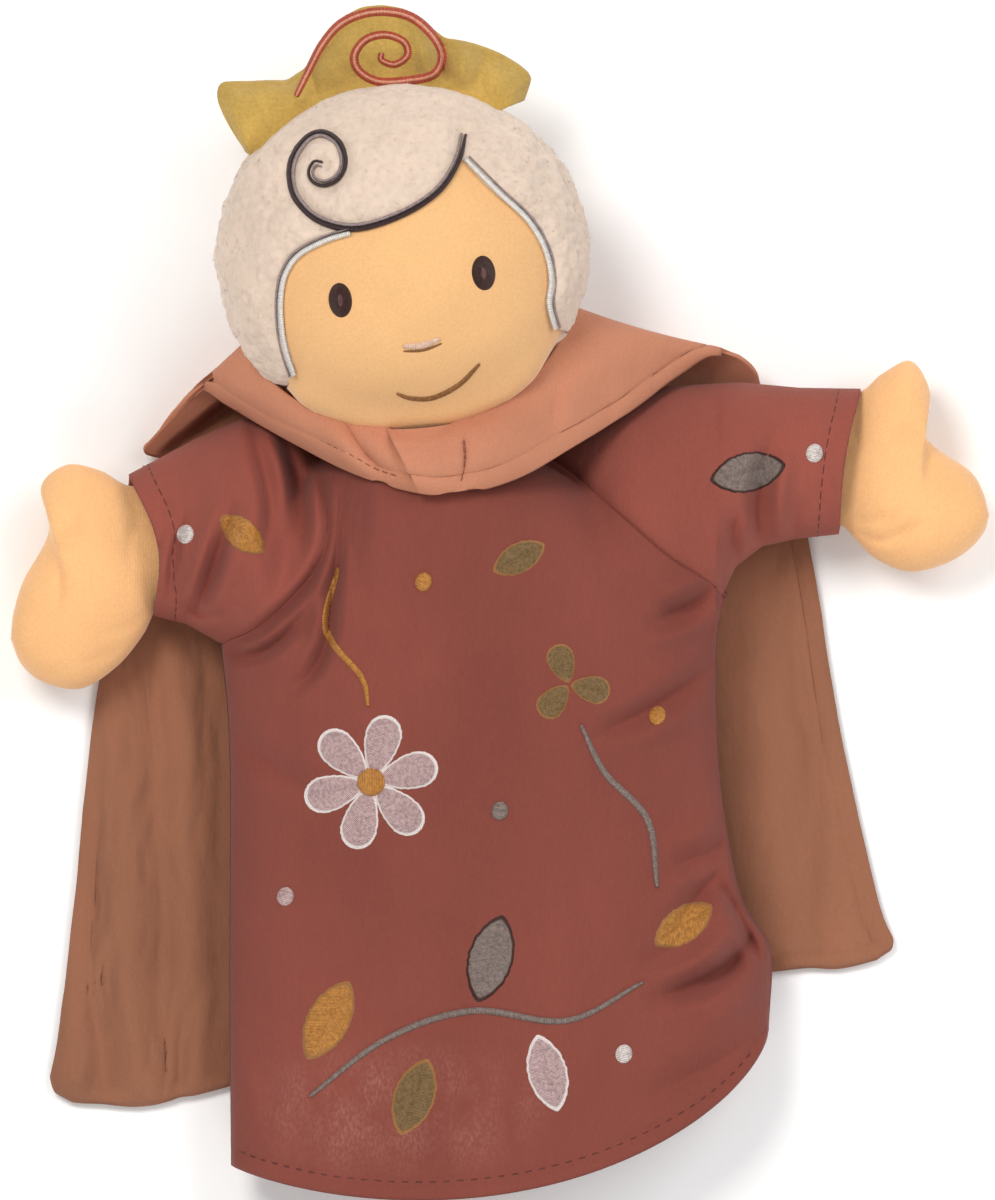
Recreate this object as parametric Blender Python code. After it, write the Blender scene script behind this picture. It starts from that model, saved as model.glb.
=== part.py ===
"""A queen hand puppet of sewn cloth, lying on its back with its arms out.

X runs across the puppet, Y from the hem up to the crown, and Z up from the surface that it lies on.
The sizes below are in millimetres, and the meshes are written in metres.
"""

import bpy
import numpy as np

MM = 0.001

# Clearances
GAP = 0.35  # between two pieces that touch
SEAM_GAP = 0.6  # between two cloth edges that are sewn together
SLEEVE_GAP = 0.9  # along X, where a raglan seam slants
DRAPE_GAP = 1.1  # between the loose collar and what it lies on

# Cloth
TUNIC_CLOTH = 0.9
CAPE_CLOTH = 1.1
SKIN_CLOTH = 1.2
FACE_CLOTH = 1.4
PLUSH = 3.2
CROWN_CLOTH = 1.3
THREAD = 0.6  # how far embroidery stands up
THREAD_GAP = 0.5  # between embroidery and its cloth
STEM_WIDTH = 1.7  # of an embroidered stem
LIP_WIDTH = 1.2  # of the nose's and the mouth's lines
PIPING_WIDTH = 1.5
CURL_WIDTH = 1.9
EYE_LONG = 3.7  # half an eye's height
EYE_WIDE = 2.5
EYE_TURN = 96  # degrees
DOT_LONG = 2.0
DOT_WIDE = 1.8
HEART_RADIUS = 3.2  # the middle of the flower

# Head, a stuffed ball
HEAD_X = -20.6
HEAD_Y = 72.0
CORE_ACROSS = 35.2  # half the stuffing's width
CORE_UP = 33.6
CORE_DEEP = 29.0
CORE_GAP = 0.6  # between the stuffing and the cloth round it
HAIR_RAISE = CORE_GAP + PLUSH
FACE_RAISE = CORE_GAP + FACE_CLOTH
HEAD_Z = CORE_DEEP + HAIR_RAISE
HEAD_ACROSS = CORE_ACROSS + HAIR_RAISE
HEAD_UP = CORE_UP + HAIR_RAISE

# Neck and finger tube
NECK_X = -17.0
NECK_Z = 26.0
TUBE_BORE = 10.0  # radius
TUBE_WALL = 1.2
TUBE_TOP = 79.0
TUBE_FOOT = 27.0
NECK_CLOTH = 2.4
NECK_RADIUS = TUBE_BORE + TUBE_WALL + GAP + NECK_CLOTH
NECK_FOOT = 29.5
NECK_TOP = 62.0

# Tunic
SIDE_SEAM_Z = 13.0  # height of the side seams
CHEST_RISE = 29.0  # how far the front rises above them at the chest
HEM_RISE = 20.0  # and at the hem
PANEL_LIFT = (SEAM_GAP + TUNIC_CLOTH) / 2  # of each side seam's edge from its middle
BACK_DROP = SIDE_SEAM_Z - PANEL_LIFT - CAPE_CLOTH - GAP
NECK_DROP = SIDE_SEAM_Z - (NECK_Z - NECK_RADIUS) + TUNIC_CLOTH + 2 * GAP
SLEEVE_RISE = 12.5
SLEEVE_TOP_RISE = 22.0  # at the top of the sleeve, where it meets the chest
SLEEVE_DROP = 10.4
NECKLINE_Y = 33.0
NECKLINE_HALF = NECK_RADIUS + TUNIC_CLOTH + 3.3
HEM_BULGE = 20.3
DOME_BLEND = 7.0

# Soft folds in the tunic's front: (from x, y), (to x, y), half width, height
FOLDS = [
    ((-35, 12), (-42, -20), 4.5, -1.6),
    ((-57, -9), (-42, -3), 4.0, -1.5),
    ((-48, 4), (-38, -34), 5.0, 1.2),
    ((57, -76), (44, -52), 4.5, 1.6),
    ((52, -66), (30, -48), 6.0, -1.0),
    ((38, -8), (24, 6), 4.0, -1.2),
    ((-66, 28), (-58, 0), 3.6, -0.8),
    ((62, 41), (56, 16), 3.6, -0.8),
    ((-22, -104), (-28, -60), 12.0, -0.9),
    ((18, -96), (10, -52), 12.0, 1.0),
]

# Hands
HAND_RISE = 11.2
HAND_DROP = 11.2

# Crown
CROWN_WAVE = 3.4
CROWN_SOFTNESS = 1.4  # how far the middle of each layer bulges
CROWN_SEAT = 0.6  # from the head's seam to the crown's lower edge
CROWN_LEAN = 4.6  # degrees by which the tip of its right end leans out
SPIRAL_WIDTH = 1.7
SPIRAL_CLEAR = 0.3  # more than a gap, since its strip is flatter than the cloth below

# Cape
CAPE_FOLD = 2.6
COLLAR_LAP = 9.0  # degrees by which one end of the collar laps over the other
COLLAR_ROLL = 2.6
COLLAR_ACROSS = 33.0  # half the width of its neck opening
COLLAR_DEEP = 19.0
COLLAR_ASIDE = 1.5  # of that opening's middle from the head's

# Outlines, seen from above. Each is a smooth line through these points.
ARMPIT_Y = -9.0
NECK_LEFT = (NECK_X - NECKLINE_HALF, NECKLINE_Y)
NECK_RIGHT = (NECK_X + NECKLINE_HALF, NECKLINE_Y)
TORSO_LEFT = [(-56.5, -118.5), (-56.8, -80), (-56.8, -32), (-58.6, ARMPIT_Y)]
TORSO_RIGHT = [(56.5, -90), (56.8, -73), (50.5, -61), (46.2, -36), (45.6, ARMPIT_Y)]
SEAM_LEFT = [(-58.6, ARMPIT_Y), (-47, -4.6), (-39.6, 4), (-36.4, 15), NECK_LEFT]
SEAM_RIGHT = [(45.6, ARMPIT_Y), (33, 1), (22, 10.5), (12, 20.5), NECK_RIGHT]
LEFT_SHOULDER = [(-78, 26.6), (-64, 34), (-54, 38.4), (-45, 38), NECK_LEFT]
LEFT_UNDERARM = [(-72.6, -3.2), (-66, -4.8), (-58.6, ARMPIT_Y), (-48, -14), (-34, -16)]
RIGHT_SHOULDER = [(75.8, 44.6), (63, 44.8), (50, 46), (36, 45.2), (18, 39.5), NECK_RIGHT]
RIGHT_UNDERARM = [(71.2, 14), (62, 13), (55, 11.4), (49.6, 7.2), (46.6, 1), (45.6, ARMPIT_Y)]
RIGHT_UNDERARM += [(30, -15), (0, -17)]
NARROWING_LEFT = [(ARMPIT_Y, -58.6), (6, -55), (20, -46.5), (NECKLINE_Y, NECK_LEFT[0])]
NARROWING_RIGHT = [(ARMPIT_Y, 45.6), (6, 42), (20, 26), (NECKLINE_Y, NECK_RIGHT[0])]

LEFT_HAND_UPPER = [(-72, 24), (-78.5, 24.4), (-84, 27.4), (-91, 28.6), (-96.4, 24), (-94.8, 14.5)]
LEFT_HAND_UPPER += [(-100, 4.5), (-102.2, -2.5)]
LEFT_HAND_LOWER = [(-66.6, 0.8), (-71.6, -0.9), (-75, -7.2), (-80.5, -13.8), (-88, -18.4), (-96, -17)]
LEFT_HAND_LOWER += [(-100.6, -13.2)]
LEFT_HAND_TIP = (-102.8, -8)
RIGHT_HAND_UPPER = [(69.4, 42), (75.8, 42.8), (80, 47.6), (86.5, 50.4), (90.4, 43.6), (89.4, 34.5)]
RIGHT_HAND_UPPER += [(98.5, 27.5), (101.4, 23)]
RIGHT_HAND_LOWER = [(66, 16.6), (71.8, 15.8), (78.5, 9.2), (86, 6.2), (93.5, 7.8), (98.8, 11)]
RIGHT_HAND_LOWER += [(101.8, 14.6)]
RIGHT_HAND_TIP = (102.8, 18)

# The collar's outer edge, from the front round the right corner and along the back, with heights
COLLAR_EDGE = [(-9.5, 22.8, 43), (3, 26, 41), (15, 32.6, 36), (27, 40.2, 27), (36, 47, 20.5)]
COLLAR_EDGE += [(44, 52, 17), (50.5, 50.8, 13), (54.4, 46.4, 8), (52, 40.8, 2.6)]
COLLAR_EDGE += [(30, 38.2, 1.2), (-10, 36, 1.2), (-48, 34, 1.2), (-62, 29.8, 1.4)]
COLLAR_EDGE += [(-74.4, 30.8, 4.5), (-72, 35.4, 8), (-68.2, 40.6, 11.5), (-63, 45.2, 15), (-57, 42, 19)]
COLLAR_EDGE += [(-50, 37.8, 23), (-42, 33.4, 30), (-31.5, 28, 38), (-20, 24, 42)]

CAPE_LEFT = [(-95, -104), (-91, -84), (-86.5, -38), (-80, 2), (-74.4, 28.4)]
CAPE_RIGHT = [(84, -74), (79, -62), (71.6, -29), (64.5, 12), (58.5, 42.5)]
CAPE_HEM = [(-95, -104), (-77, -105.6), (-58, -102), (0, -90), (56, -78), (72, -76.6), (84, -74)]
CAPE_TOP = [(-74.4, 28.4), (-63, 28.2), (-54, 30.8), (-46, 32.8), (-10, 35.3), (30, 37.5), (50, 38.6)]
CAPE_TOP += [(58.5, 42.5)]

# The hairline, from the head's centre: down one side, along the fringe, and down the other
HAIRLINE_LEFT = [(-23.4, -27), (-25.2, -14), (-24.6, -4), (-20, 2), (-12, 4.4)]
HAIRLINE_FRINGE = [(-12, 4.4), (-3, 5.2), (5.5, 9.2), (11, 15.4), (13.4, 20.4)]
HAIRLINE_RIGHT = [(13.4, 20.4), (19, 14.6), (26, 7.4), (30, -1), (31.4, -13), (31.6, -18)]
PIPING_LEFT = [(-16.6, 4.4), (-20.4, 3.8), (-23.8, 1.6), (-26, -3), (-26.8, -10), (-26, -20)]
PIPING_RIGHT = [(14.2, 21.4), (20.2, 15.6), (27.2, 8.2), (31.4, -1), (32.6, -10)]

# The curl on the hair: along the fringe from the parting, then round and inwards
CURL = [(-7.4, 97.9), (-8.8, 92.2), (-13, 85.8), (-20.6, 80.9), (-30, 78.1), (-37.6, 79.6)]
CURL += [(-42.3, 83.7)]
CURL += [(-43.9, 88.4), (-43.3, 93.1), (-40.4, 97.1), (-37.1, 98.1), (-33.8, 96), (-32.6, 92.2)]
CURL += [(-33.8, 88.8), (-36.6, 87.3), (-39, 88), (-39.8, 89.9), (-38.8, 91.8), (-37.2, 91.6)]

# Crown heights above the head, by the angle seen from the head's centre
CROWN_ANGLES = [56.6, 59, 62, 66, 73, 79, 83.5, 89, 94, 99]
CROWN_ANGLES += [104.5, 110.5, 117, 123, 130.5, 136, 139, 141, 144, 146]
CROWN_HEIGHTS = [7.4, 9.2, 10, 10.3, 10.2, 9.8, 12, 15, 16, 16.1]
CROWN_HEIGHTS += [14.6, 10.7, 7.2, 6.8, 11, 15.2, 13.6, 10.6, 5, 0.8]

COLOURS = {
    "skin": (0.93, 0.55, 0.25, 1),
    "plush": (0.70, 0.58, 0.50, 1),
    "crown_velour": (0.60, 0.40, 0.11, 1),
    "tunic_cotton": (0.26, 0.075, 0.055, 1),
    "cape_cotton": (0.45, 0.20, 0.12, 1),
    "fibre_fill": (0.85, 0.84, 0.80, 1),
    "card": (0.50, 0.36, 0.22, 1),
    "dark_thread": (0.06, 0.035, 0.03, 1),
    "red_thread": (0.42, 0.06, 0.04, 1),
    "white_thread": (0.80, 0.74, 0.70, 1),
    "pink_thread": (0.80, 0.42, 0.33, 1),
    "brown_thread": (0.20, 0.09, 0.04, 1),
    "lilac_thread": (0.55, 0.38, 0.38, 1),
    "olive_thread": (0.19, 0.12, 0.05, 1),
    "ochre_thread": (0.42, 0.18, 0.04, 1),
    "grey_thread": (0.24, 0.19, 0.17, 1),
}


def material(slot):
    """One cloth or thread, made once and shared by every piece that uses it."""
    found = bpy.data.materials.get(slot)
    if found:
        return found
    made = bpy.data.materials.new(slot)
    made.use_nodes = True
    shader = made.node_tree.nodes["Principled BSDF"]
    shader.inputs["Base Color"].default_value = COLOURS[slot]
    shader.inputs["Roughness"].default_value = 0.9
    shader.inputs["Metallic"].default_value = 0.0
    return made


def smooth(a, b, x):
    """0 below a, 1 above b, and a smooth step between them."""
    t = np.clip((x - a) / (b - a), 0, 1)
    return t * t * (3 - 2 * t)


def along(knots, t, closed=False):
    """The points at shares t of a smooth line through the knots, spaced by their distances."""
    p = np.array(knots, float)
    if closed:
        p = np.vstack([p[-1:], p, p[:2]])
    else:
        p = np.vstack([2 * p[0] - p[1], p, 2 * p[-1] - p[-2]])
    spans = np.linalg.norm(np.diff(p, axis=0), axis=1)[1:-1]
    ends = np.concatenate([[0], np.cumsum(spans)]) / spans.sum()
    t = np.clip(np.asarray(t, float), 0, 1)
    i = np.clip(np.searchsorted(ends, t, side="right") - 1, 0, len(spans) - 1)
    f = ((t - ends[i]) / (ends[i + 1] - ends[i]))[..., None]
    a, b, c, d = p[i], p[i + 1], p[i + 2], p[i + 3]
    return 0.5 * (2 * b + (c - a) * f + (2 * a - 5 * b + 4 * c - d) * f**2 + (3 * b - a - 3 * c + d) * f**3)


def value_at(knots, x):
    """The second coordinate of the knots, read at x and eased between them."""
    k = np.array(sorted(knots), float)
    i = np.clip(np.searchsorted(k[:, 0], x) - 1, 0, len(k) - 2)
    f = np.clip((x - k[i, 0]) / (k[i + 1, 0] - k[i, 0]), 0, 1)
    return k[i, 1] + (k[i + 1, 1] - k[i, 1]) * f


def arch(x, low, high, power=2.0):
    """A rounded arch of height 1 between low and high, and 0 outside them. A higher power is boxier."""
    s = np.abs(x - (low + high) / 2) / np.maximum((high - low) / 2, 1e-6)
    return np.clip(1 - s**power, 0, 1) ** (1 / power)


def chest_edges(y):
    """Where the torso's sides are at y: straight below the arms, and narrowing to the neck above them."""
    below = [value_at([(q[1], q[0]) for q in side], y) for side in (TORSO_LEFT, TORSO_RIGHT)]
    above = [value_at(side, y) for side in (NARROWING_LEFT, NARROWING_RIGHT)]
    return [np.where(y < ARMPIT_Y, b, a) for b, a in zip(below, above)]


def garment_swell(x, y, chest, sleeve_end, sleeve_top, power):
    """How far the tunic swells from its side seams: the torso's arch joined to both sleeves' arches."""
    low, high = chest_edges(y)
    total = (chest * arch(x, low, high, power)) ** DOME_BLEND
    for shoulder, underarm in ((LEFT_SHOULDER, LEFT_UNDERARM), (RIGHT_SHOULDER, RIGHT_UNDERARM)):
        cuff, neck = shoulder[0][0], shoulder[-1][0]
        share = (x - cuff) / (neck - cuff)
        tall = sleeve_end + (sleeve_top - sleeve_end) * smooth(0.1, 0.62, share)
        tall = tall * (1 - smooth(0.62, 1, share))
        swell = tall * arch(y, value_at(underarm, x), value_at(shoulder, x), power)
        total = total + swell**DOME_BLEND
    return total ** (1 / DOME_BLEND)


def fold_height(x, y):
    """The soft folds of the tunic's front: each is a ridge or a groove that fades out at both ends."""
    total = np.zeros(np.broadcast(x, y).shape)
    for (ax, ay), (bx, by), half, height in FOLDS:
        length = np.hypot(bx - ax, by - ay)
        t = ((x - ax) * (bx - ax) + (y - ay) * (by - ay)) / length**2
        off = ((x - ax) * (by - ay) - (y - ay) * (bx - ax)) / length
        total = total + height * np.exp(-((off / half) ** 2)) * smooth(-0.3, 0.25, t) * smooth(1.3, 0.75, t)
    return total


def tunic_front_z(x, y):
    chest = HEM_RISE + (CHEST_RISE - HEM_RISE) * smooth(-112, 10, y)
    swell = garment_swell(x, y, chest, SLEEVE_RISE, SLEEVE_TOP_RISE, 2.0)
    return SIDE_SEAM_Z + swell + fold_height(x, y) * smooth(2, 9, swell)


def tunic_back_z(x, y):
    drop = BACK_DROP + (NECK_DROP - BACK_DROP) * smooth(8, NECKLINE_Y, y)
    return SIDE_SEAM_Z - garment_swell(x, y, drop, SLEEVE_DROP, SLEEVE_DROP, 2.6)


def mesh_object(name, slot, points, faces):
    """An object from points in millimetres."""
    mesh = bpy.data.meshes.new(name)
    mesh.from_pydata((np.asarray(points, float) * MM).tolist(), [], faces)
    mesh.materials.append(material(slot))
    made = bpy.data.objects.new(name, mesh)
    bpy.context.scene.collection.objects.link(made)
    made.parent = PUPPET
    return made


def rounded(made, angle=0.7):
    made.data.shade_smooth()
    made.data.set_sharp_from_angle(angle=angle)
    return made


def grid_faces(rows, columns, wrap=False, flip=False):
    """Quads of a grid of rows x columns points. With wrap, the last column joins the first."""
    faces = []
    for r in range(rows - 1):
        for c in range(columns if wrap else columns - 1):
            n = (c + 1) % columns
            face = (r * columns + c, r * columns + n, (r + 1) * columns + n, (r + 1) * columns + c)
            faces.append(face[::-1] if flip else face)
    return faces


def cloth(made, thickness, outwards=False):
    """Gives an open sheet its thickness, by default on the side away from its normals."""
    solid = made.modifiers.new("thickness", "SOLIDIFY")
    solid.thickness = thickness * MM
    solid.offset = 1 if outwards else -1
    return rounded(made)


def apply_modifiers(made):
    graph = bpy.context.evaluated_depsgraph_get()
    mesh = bpy.data.meshes.new_from_object(made.evaluated_get(graph))
    made.modifiers.clear()
    made.data = mesh
    return made


def cut(made, operation, cutter):
    step = made.modifiers.new(operation.lower(), "BOOLEAN")
    step.operation = operation
    step.object = cutter
    cutter.hide_render = True
    cutter.display_type = "WIRE"


def hem_drop(s):
    """How far the front hem hangs below the line between its corners, at s from -1 to 1 across it."""
    return HEM_BULGE * (1 + s) ** 0.9 * (1 - s) ** 0.6


def tunic_panel(name, height, side, rows_below, rows_above, columns):
    """The front (side 1) or back (side -1) of the torso, between its side seams and the raglan seams."""
    across = (1 - np.cos(np.linspace(0, np.pi, columns))) / 2
    up = np.linspace(0, 1, rows_below)
    over = np.linspace(0, 1, rows_above)[1:]
    left = np.vstack([along(TORSO_LEFT, up), along(SEAM_LEFT, over)])
    right = np.vstack([along(TORSO_RIGHT, up), along(SEAM_RIGHT, over)])
    share = np.linspace(0, 1, len(left))[:, None]
    x = left[:, :1] + (right[:, :1] - left[:, :1]) * across
    y = left[:, 1:] + (right[:, 1:] - left[:, 1:]) * across
    y = y - hem_drop(across * 2 - 1) * (1 - share) ** 2
    z = height(x, y) + side * PANEL_LIFT
    points = np.dstack([x, y, z]).reshape(-1, 3)
    made = mesh_object(name, "tunic_cotton", points, grid_faces(*x.shape, flip=side < 0))
    return cloth(made, TUNIC_CLOTH)


def sleeve(name, seam, shoulder, underarm, out, rows, columns):
    """A raglan sleeve: a tube from the raglan seam to the cuff, between its shoulder and underarm lines."""
    turn = np.linspace(0, 2 * np.pi, columns, endpoint=False)
    up = (1 + np.cos(turn)) / 2
    q = np.linspace(0, 1, rows)[:, None]
    seam_points = along(seam, up) + (out * SLEEVE_GAP, 0)
    cuff_top, cuff_foot = np.array(shoulder[0]), np.array(underarm[0])
    cuff_points = cuff_foot + (cuff_top - cuff_foot) * up[:, None]
    x = seam_points[:, 0] * (1 - q) + cuff_points[:, 0] * q
    y = seam_points[:, 1] * (1 - q) + cuff_points[:, 1] * q
    middle = columns // 2
    miss_top = value_at(shoulder, x[:, :1]) - y[:, :1]
    miss_foot = value_at(underarm, x[:, middle : middle + 1]) - y[:, middle : middle + 1]
    y = y + smooth(0, 0.1, q) * (miss_top * up**2 + miss_foot * (1 - up) ** 2)
    y = np.clip(y, value_at(underarm, x), value_at(shoulder, x))
    z = np.where(np.sin(turn) >= 0, tunic_front_z(x, y), tunic_back_z(x, y))
    z = z + PANEL_LIFT * np.sin(turn)
    points = np.dstack([x, y, z]).reshape(-1, 3)
    made = mesh_object(name, "tunic_cotton", points, grid_faces(rows, columns, wrap=True, flip=out < 0))
    return cloth(made, TUNIC_CLOTH)


def hand(name, upper, lower, tip, out, rows, columns):
    """A mitten: rings from the wrist to the tip, between its upper and lower outlines, closed at the tip."""
    turn = np.linspace(0, 2 * np.pi, columns, endpoint=False)
    t = np.linspace(0, 1, rows)[:-1] ** 0.9
    a, b = along([*upper, tip], t), along([*lower, tip], t)
    x = (a + b)[:, :1] / 2 + (a - b)[:, :1] / 2 * np.cos(turn)
    y = (a + b)[:, 1:] / 2 + (a - b)[:, 1:] / 2 * np.cos(turn)
    full = (0.72 + 0.28 * smooth(0, 0.35, t)) * np.sin(np.pi * (0.12 + 0.86 * t)) ** 0.45
    z = SIDE_SEAM_Z + full[:, None] * np.where(np.sin(turn) >= 0, HAND_RISE, HAND_DROP) * np.sin(turn)
    points = np.vstack([np.dstack([x, y, z]).reshape(-1, 3), (*tip, SIDE_SEAM_Z)])
    faces = grid_faces(len(t), columns, wrap=True, flip=out < 0)
    last, end = (len(t) - 1) * columns, len(points) - 1
    for c in range(columns):
        face = (last + c, last + (c + 1) % columns, end)
        faces.append(face[::-1] if out < 0 else face)
    return cloth(mesh_object(name, "skin", points, faces), SKIN_CLOTH)


def ball(name, slot, raise_by, segments, rings):
    """The head's ellipsoid, this far outside the stuffing."""
    down = np.linspace(0, np.pi, rings + 1)[1:-1]
    turn = np.linspace(0, 2 * np.pi, segments, endpoint=False)
    x = np.outer(np.sin(down), np.cos(turn)).ravel()
    y = np.outer(np.sin(down), np.sin(turn)).ravel()
    z = np.repeat(np.cos(down), segments)
    points = np.vstack([np.column_stack([x, y, z]), [(0, 0, 1), (0, 0, -1)]])
    points = points * (CORE_ACROSS + raise_by, CORE_UP + raise_by, CORE_DEEP + raise_by)
    points = points + (HEAD_X, HEAD_Y, HEAD_Z)
    faces = grid_faces(rings - 1, segments, wrap=True, flip=True)
    top, foot, last = len(points) - 2, len(points) - 1, (rings - 2) * segments
    for c in range(segments):
        n = (c + 1) % segments
        faces += [(c, n, top), (last + n, last + c, foot)]
    return rounded(mesh_object(name, slot, points, faces))


def prism(name, outline, low, high):
    """An upright block with this outline, anticlockwise, from low to high."""
    count = len(outline)
    points = [(x, y, low) for x, y in outline] + [(x, y, high) for x, y in outline]
    faces = [tuple(range(count))[::-1], tuple(range(count, 2 * count))]
    faces += [(i, (i + 1) % count, count + (i + 1) % count, count + i) for i in range(count)]
    return mesh_object(name, "card", points, faces)


def ring(radius, y, sides):
    """Points round the neck's axis at y."""
    turn = np.linspace(0, 2 * np.pi, sides, endpoint=False)
    return np.column_stack([NECK_X + radius * np.cos(turn), np.full(sides, y), NECK_Z + radius * np.sin(turn)])


def bar(name, radius, foot, top, sides):
    """A round bar along the neck's axis."""
    points = np.vstack([ring(radius, foot, sides), ring(radius, top, sides)])
    faces = grid_faces(2, sides, wrap=True, flip=True)
    faces += [tuple(range(sides)), tuple(range(sides, 2 * sides))[::-1]]
    return mesh_object(name, "card", points, faces)


def pipe(name, slot, inner, outer, foot, top, sides):
    """A pipe along the neck's axis, open at both ends."""
    corners = ((outer, foot), (outer, top), (inner, top), (inner, foot), (outer, foot))
    points = np.vstack([ring(radius, y, sides) for radius, y in corners[:4]])
    count = len(points)
    faces = [tuple(i % count for i in f) for f in grid_faces(5, sides, wrap=True, flip=True)]
    return rounded(mesh_object(name, slot, points, faces))


def hairline(outwards):
    """The face's outline, grown by outwards, with its lower part run out past the jaw."""
    t = np.linspace(0, 1, 7)
    line = np.vstack([along(HAIRLINE_LEFT, t), along(HAIRLINE_FRINGE, t)[1:], along(HAIRLINE_RIGHT, t)[1:]])
    steps = np.gradient(line, axis=0)
    normals = np.column_stack([-steps[:, 1], steps[:, 0]]) / np.linalg.norm(steps, axis=1)[:, None]
    line = line + outwards * normals
    wide, foot = HEAD_ACROSS + PLUSH, HEAD_UP + PLUSH
    corners = [(wide, line[-1, 1] - 2), (wide, -foot), (-wide, -foot), (-wide, line[0, 1] - 5)]
    return [(HEAD_X + x, HEAD_Y + y) for x, y in [*line, *corners]][::-1]


def head():
    """Stuffing, face, front hair and back hair, with a socket for the finger tube and a hole for the neck."""
    socket = bar("socket_cutter", TUBE_BORE + TUBE_WALL + GAP, 0, TUBE_TOP + GAP, 16)
    neck_hole = bar("neck_cutter", NECK_RADIUS + GAP, 0, NECK_TOP + GAP, 16)
    wide, high = HEAD_ACROSS + PLUSH, HEAD_Z + CORE_DEEP + 2 * PLUSH
    square = [(HEAD_X + sx * wide, HEAD_Y + sy * wide) for sx, sy in ((-1, -1), (1, -1), (1, 1), (-1, 1))]
    front_half = prism("front_half", square, HEAD_Z + SEAM_GAP / 2, high)
    back_half = prism("back_half", square, -PLUSH, HEAD_Z - SEAM_GAP / 2)
    face_block = prism("face_block", hairline(0), HEAD_Z + SEAM_GAP / 2, high)
    hair_block = prism("hair_block", hairline(GAP), HEAD_Z - PLUSH, high)
    hollow = ball("head_hollow", "card", CORE_GAP, 24, 14)
    pieces = [
        ("head_stuffing", "fibre_fill", 0, 16, 10, None, [neck_hole, socket]),
        ("face", "skin", FACE_RAISE, 24, 14, face_block, [hollow, neck_hole]),
        ("hair_front", "plush", HAIR_RAISE, 24, 14, front_half, [hollow, hair_block]),
        ("hair_back", "plush", HAIR_RAISE, 24, 14, back_half, [hollow, neck_hole]),
    ]
    for name, slot, raise_by, segments, rings, kept, holes in pieces:
        made = ball(name, slot, raise_by, segments, rings)
        if kept:
            cut(made, "INTERSECT", kept)
        for hole in holes:
            cut(made, "DIFFERENCE", hole)
        rounded(apply_modifiers(made))


def neck():
    """The card tube for a finger, and the cloth neck round it that joins the head to the tunic."""
    pipe("finger_tube", "card", TUBE_BORE, TUBE_BORE + TUBE_WALL, TUBE_FOOT, TUBE_TOP, 16)
    pipe("neck", "skin", NECK_RADIUS - NECK_CLOTH, NECK_RADIUS, NECK_FOOT, NECK_TOP, 16)


def crown_shape(degrees, v):
    """A point of the crown's middle plane: v runs from its seam on the head (0) to its edge (1)."""
    heights = np.interp(degrees, CROWN_ANGLES, CROWN_HEIGHTS)
    angle = np.radians(degrees - CROWN_LEAN * v * smooth(72, 57, degrees))
    reach = ((np.cos(angle) / HEAD_ACROSS) ** 2 + (np.sin(angle) / HEAD_UP) ** 2) ** -0.5
    radius = reach + CROWN_SEAT + v * heights
    wave = CROWN_WAVE * np.cos(np.radians(degrees - 96) * 5.2) * v**1.3 * smooth(0, 9, heights)
    return HEAD_X + radius * np.cos(angle), HEAD_Y + radius * np.sin(angle), HEAD_Z + wave, heights


def crown_layer(name, side, rows, columns):
    """The front (side 1) or back (side -1) cloth of the crown, standing on the head's top seam."""
    degrees = np.linspace(CROWN_ANGLES[0], CROWN_ANGLES[-1], columns)
    v = np.linspace(0, 1, rows)[:, None]
    x, y, z, heights = crown_shape(degrees, v)
    z = z + side * (GAP / 2 + CROWN_SOFTNESS * np.sin(np.pi * v) ** 2 * smooth(0, 6, heights))
    points = np.dstack([x, y, z]).reshape(-1, 3)
    made = mesh_object(name, "crown_velour", points, grid_faces(rows, columns, flip=side > 0))
    return cloth(made, CROWN_CLOTH, outwards=True)


def under_head(x, z):
    """The lowest Y of the head's outer surface over (x, z)."""
    off = ((x - HEAD_X) / HEAD_ACROSS) ** 2 + ((z - HEAD_Z) / (CORE_DEEP + HAIR_RAISE)) ** 2
    return HEAD_Y - HEAD_UP * np.sqrt(np.clip(1 - off, 0, 1))


def collar(columns, rows):
    """A soft band round the neck that lies on the chest in front and on the ground behind, its ends lapped."""
    lap = np.radians(COLLAR_LAP)
    turn = np.linspace(np.pi / 2 + lap, -1.5 * np.pi - lap, columns)
    v = np.linspace(0, 1, rows)[:, None]
    inner_x = HEAD_X + COLLAR_ASIDE + COLLAR_ACROSS * np.cos(turn)
    inner_z = NECK_Z + COLLAR_DEEP * np.sin(turn)
    inner = np.column_stack([inner_x, under_head(inner_x, inner_z) - 2 * DRAPE_GAP, inner_z])
    outer = along(COLLAR_EDGE, ((np.pi / 2 - turn) / (2 * np.pi)) % 1, closed=True)
    x, y, z = np.moveaxis(inner + (outer - inner) * v[..., None], 2, 0)
    front = smooth(-0.1, 0.25, np.sin(turn))
    z = z + COLLAR_ROLL * np.sin(np.pi * v) * front
    resting = tunic_front_z(x, y) + DRAPE_GAP
    z = np.where(front > 0.5, np.maximum(z, resting), z)
    upper_end = smooth(np.radians(48), np.radians(74), turn)
    z = z + (CAPE_CLOTH + DRAPE_GAP) * upper_end
    points = np.dstack([x, y, z]).reshape(-1, 3)
    made = mesh_object("cape_collar", "cape_cotton", points, grid_faces(rows, columns, flip=True))
    return cloth(made, CAPE_CLOTH, outwards=True)


def cape_z(x, y):
    """The lower side of the cape: flat under the tunic, with long folds beside it."""
    low, high = chest_edges(np.minimum(y, ARMPIT_Y))
    clear = np.maximum(low - x, (x - high) * 0.7)
    beside = smooth(1, 12, clear) * smooth(8, -22, y)
    folds = 0.5 + 0.5 * np.sin(x * 0.42 + 0.05 * y + 0.8 * np.sin(y * 0.05))
    return CAPE_FOLD * beside * folds * np.where(x > 0, 0.45, 1)


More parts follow.
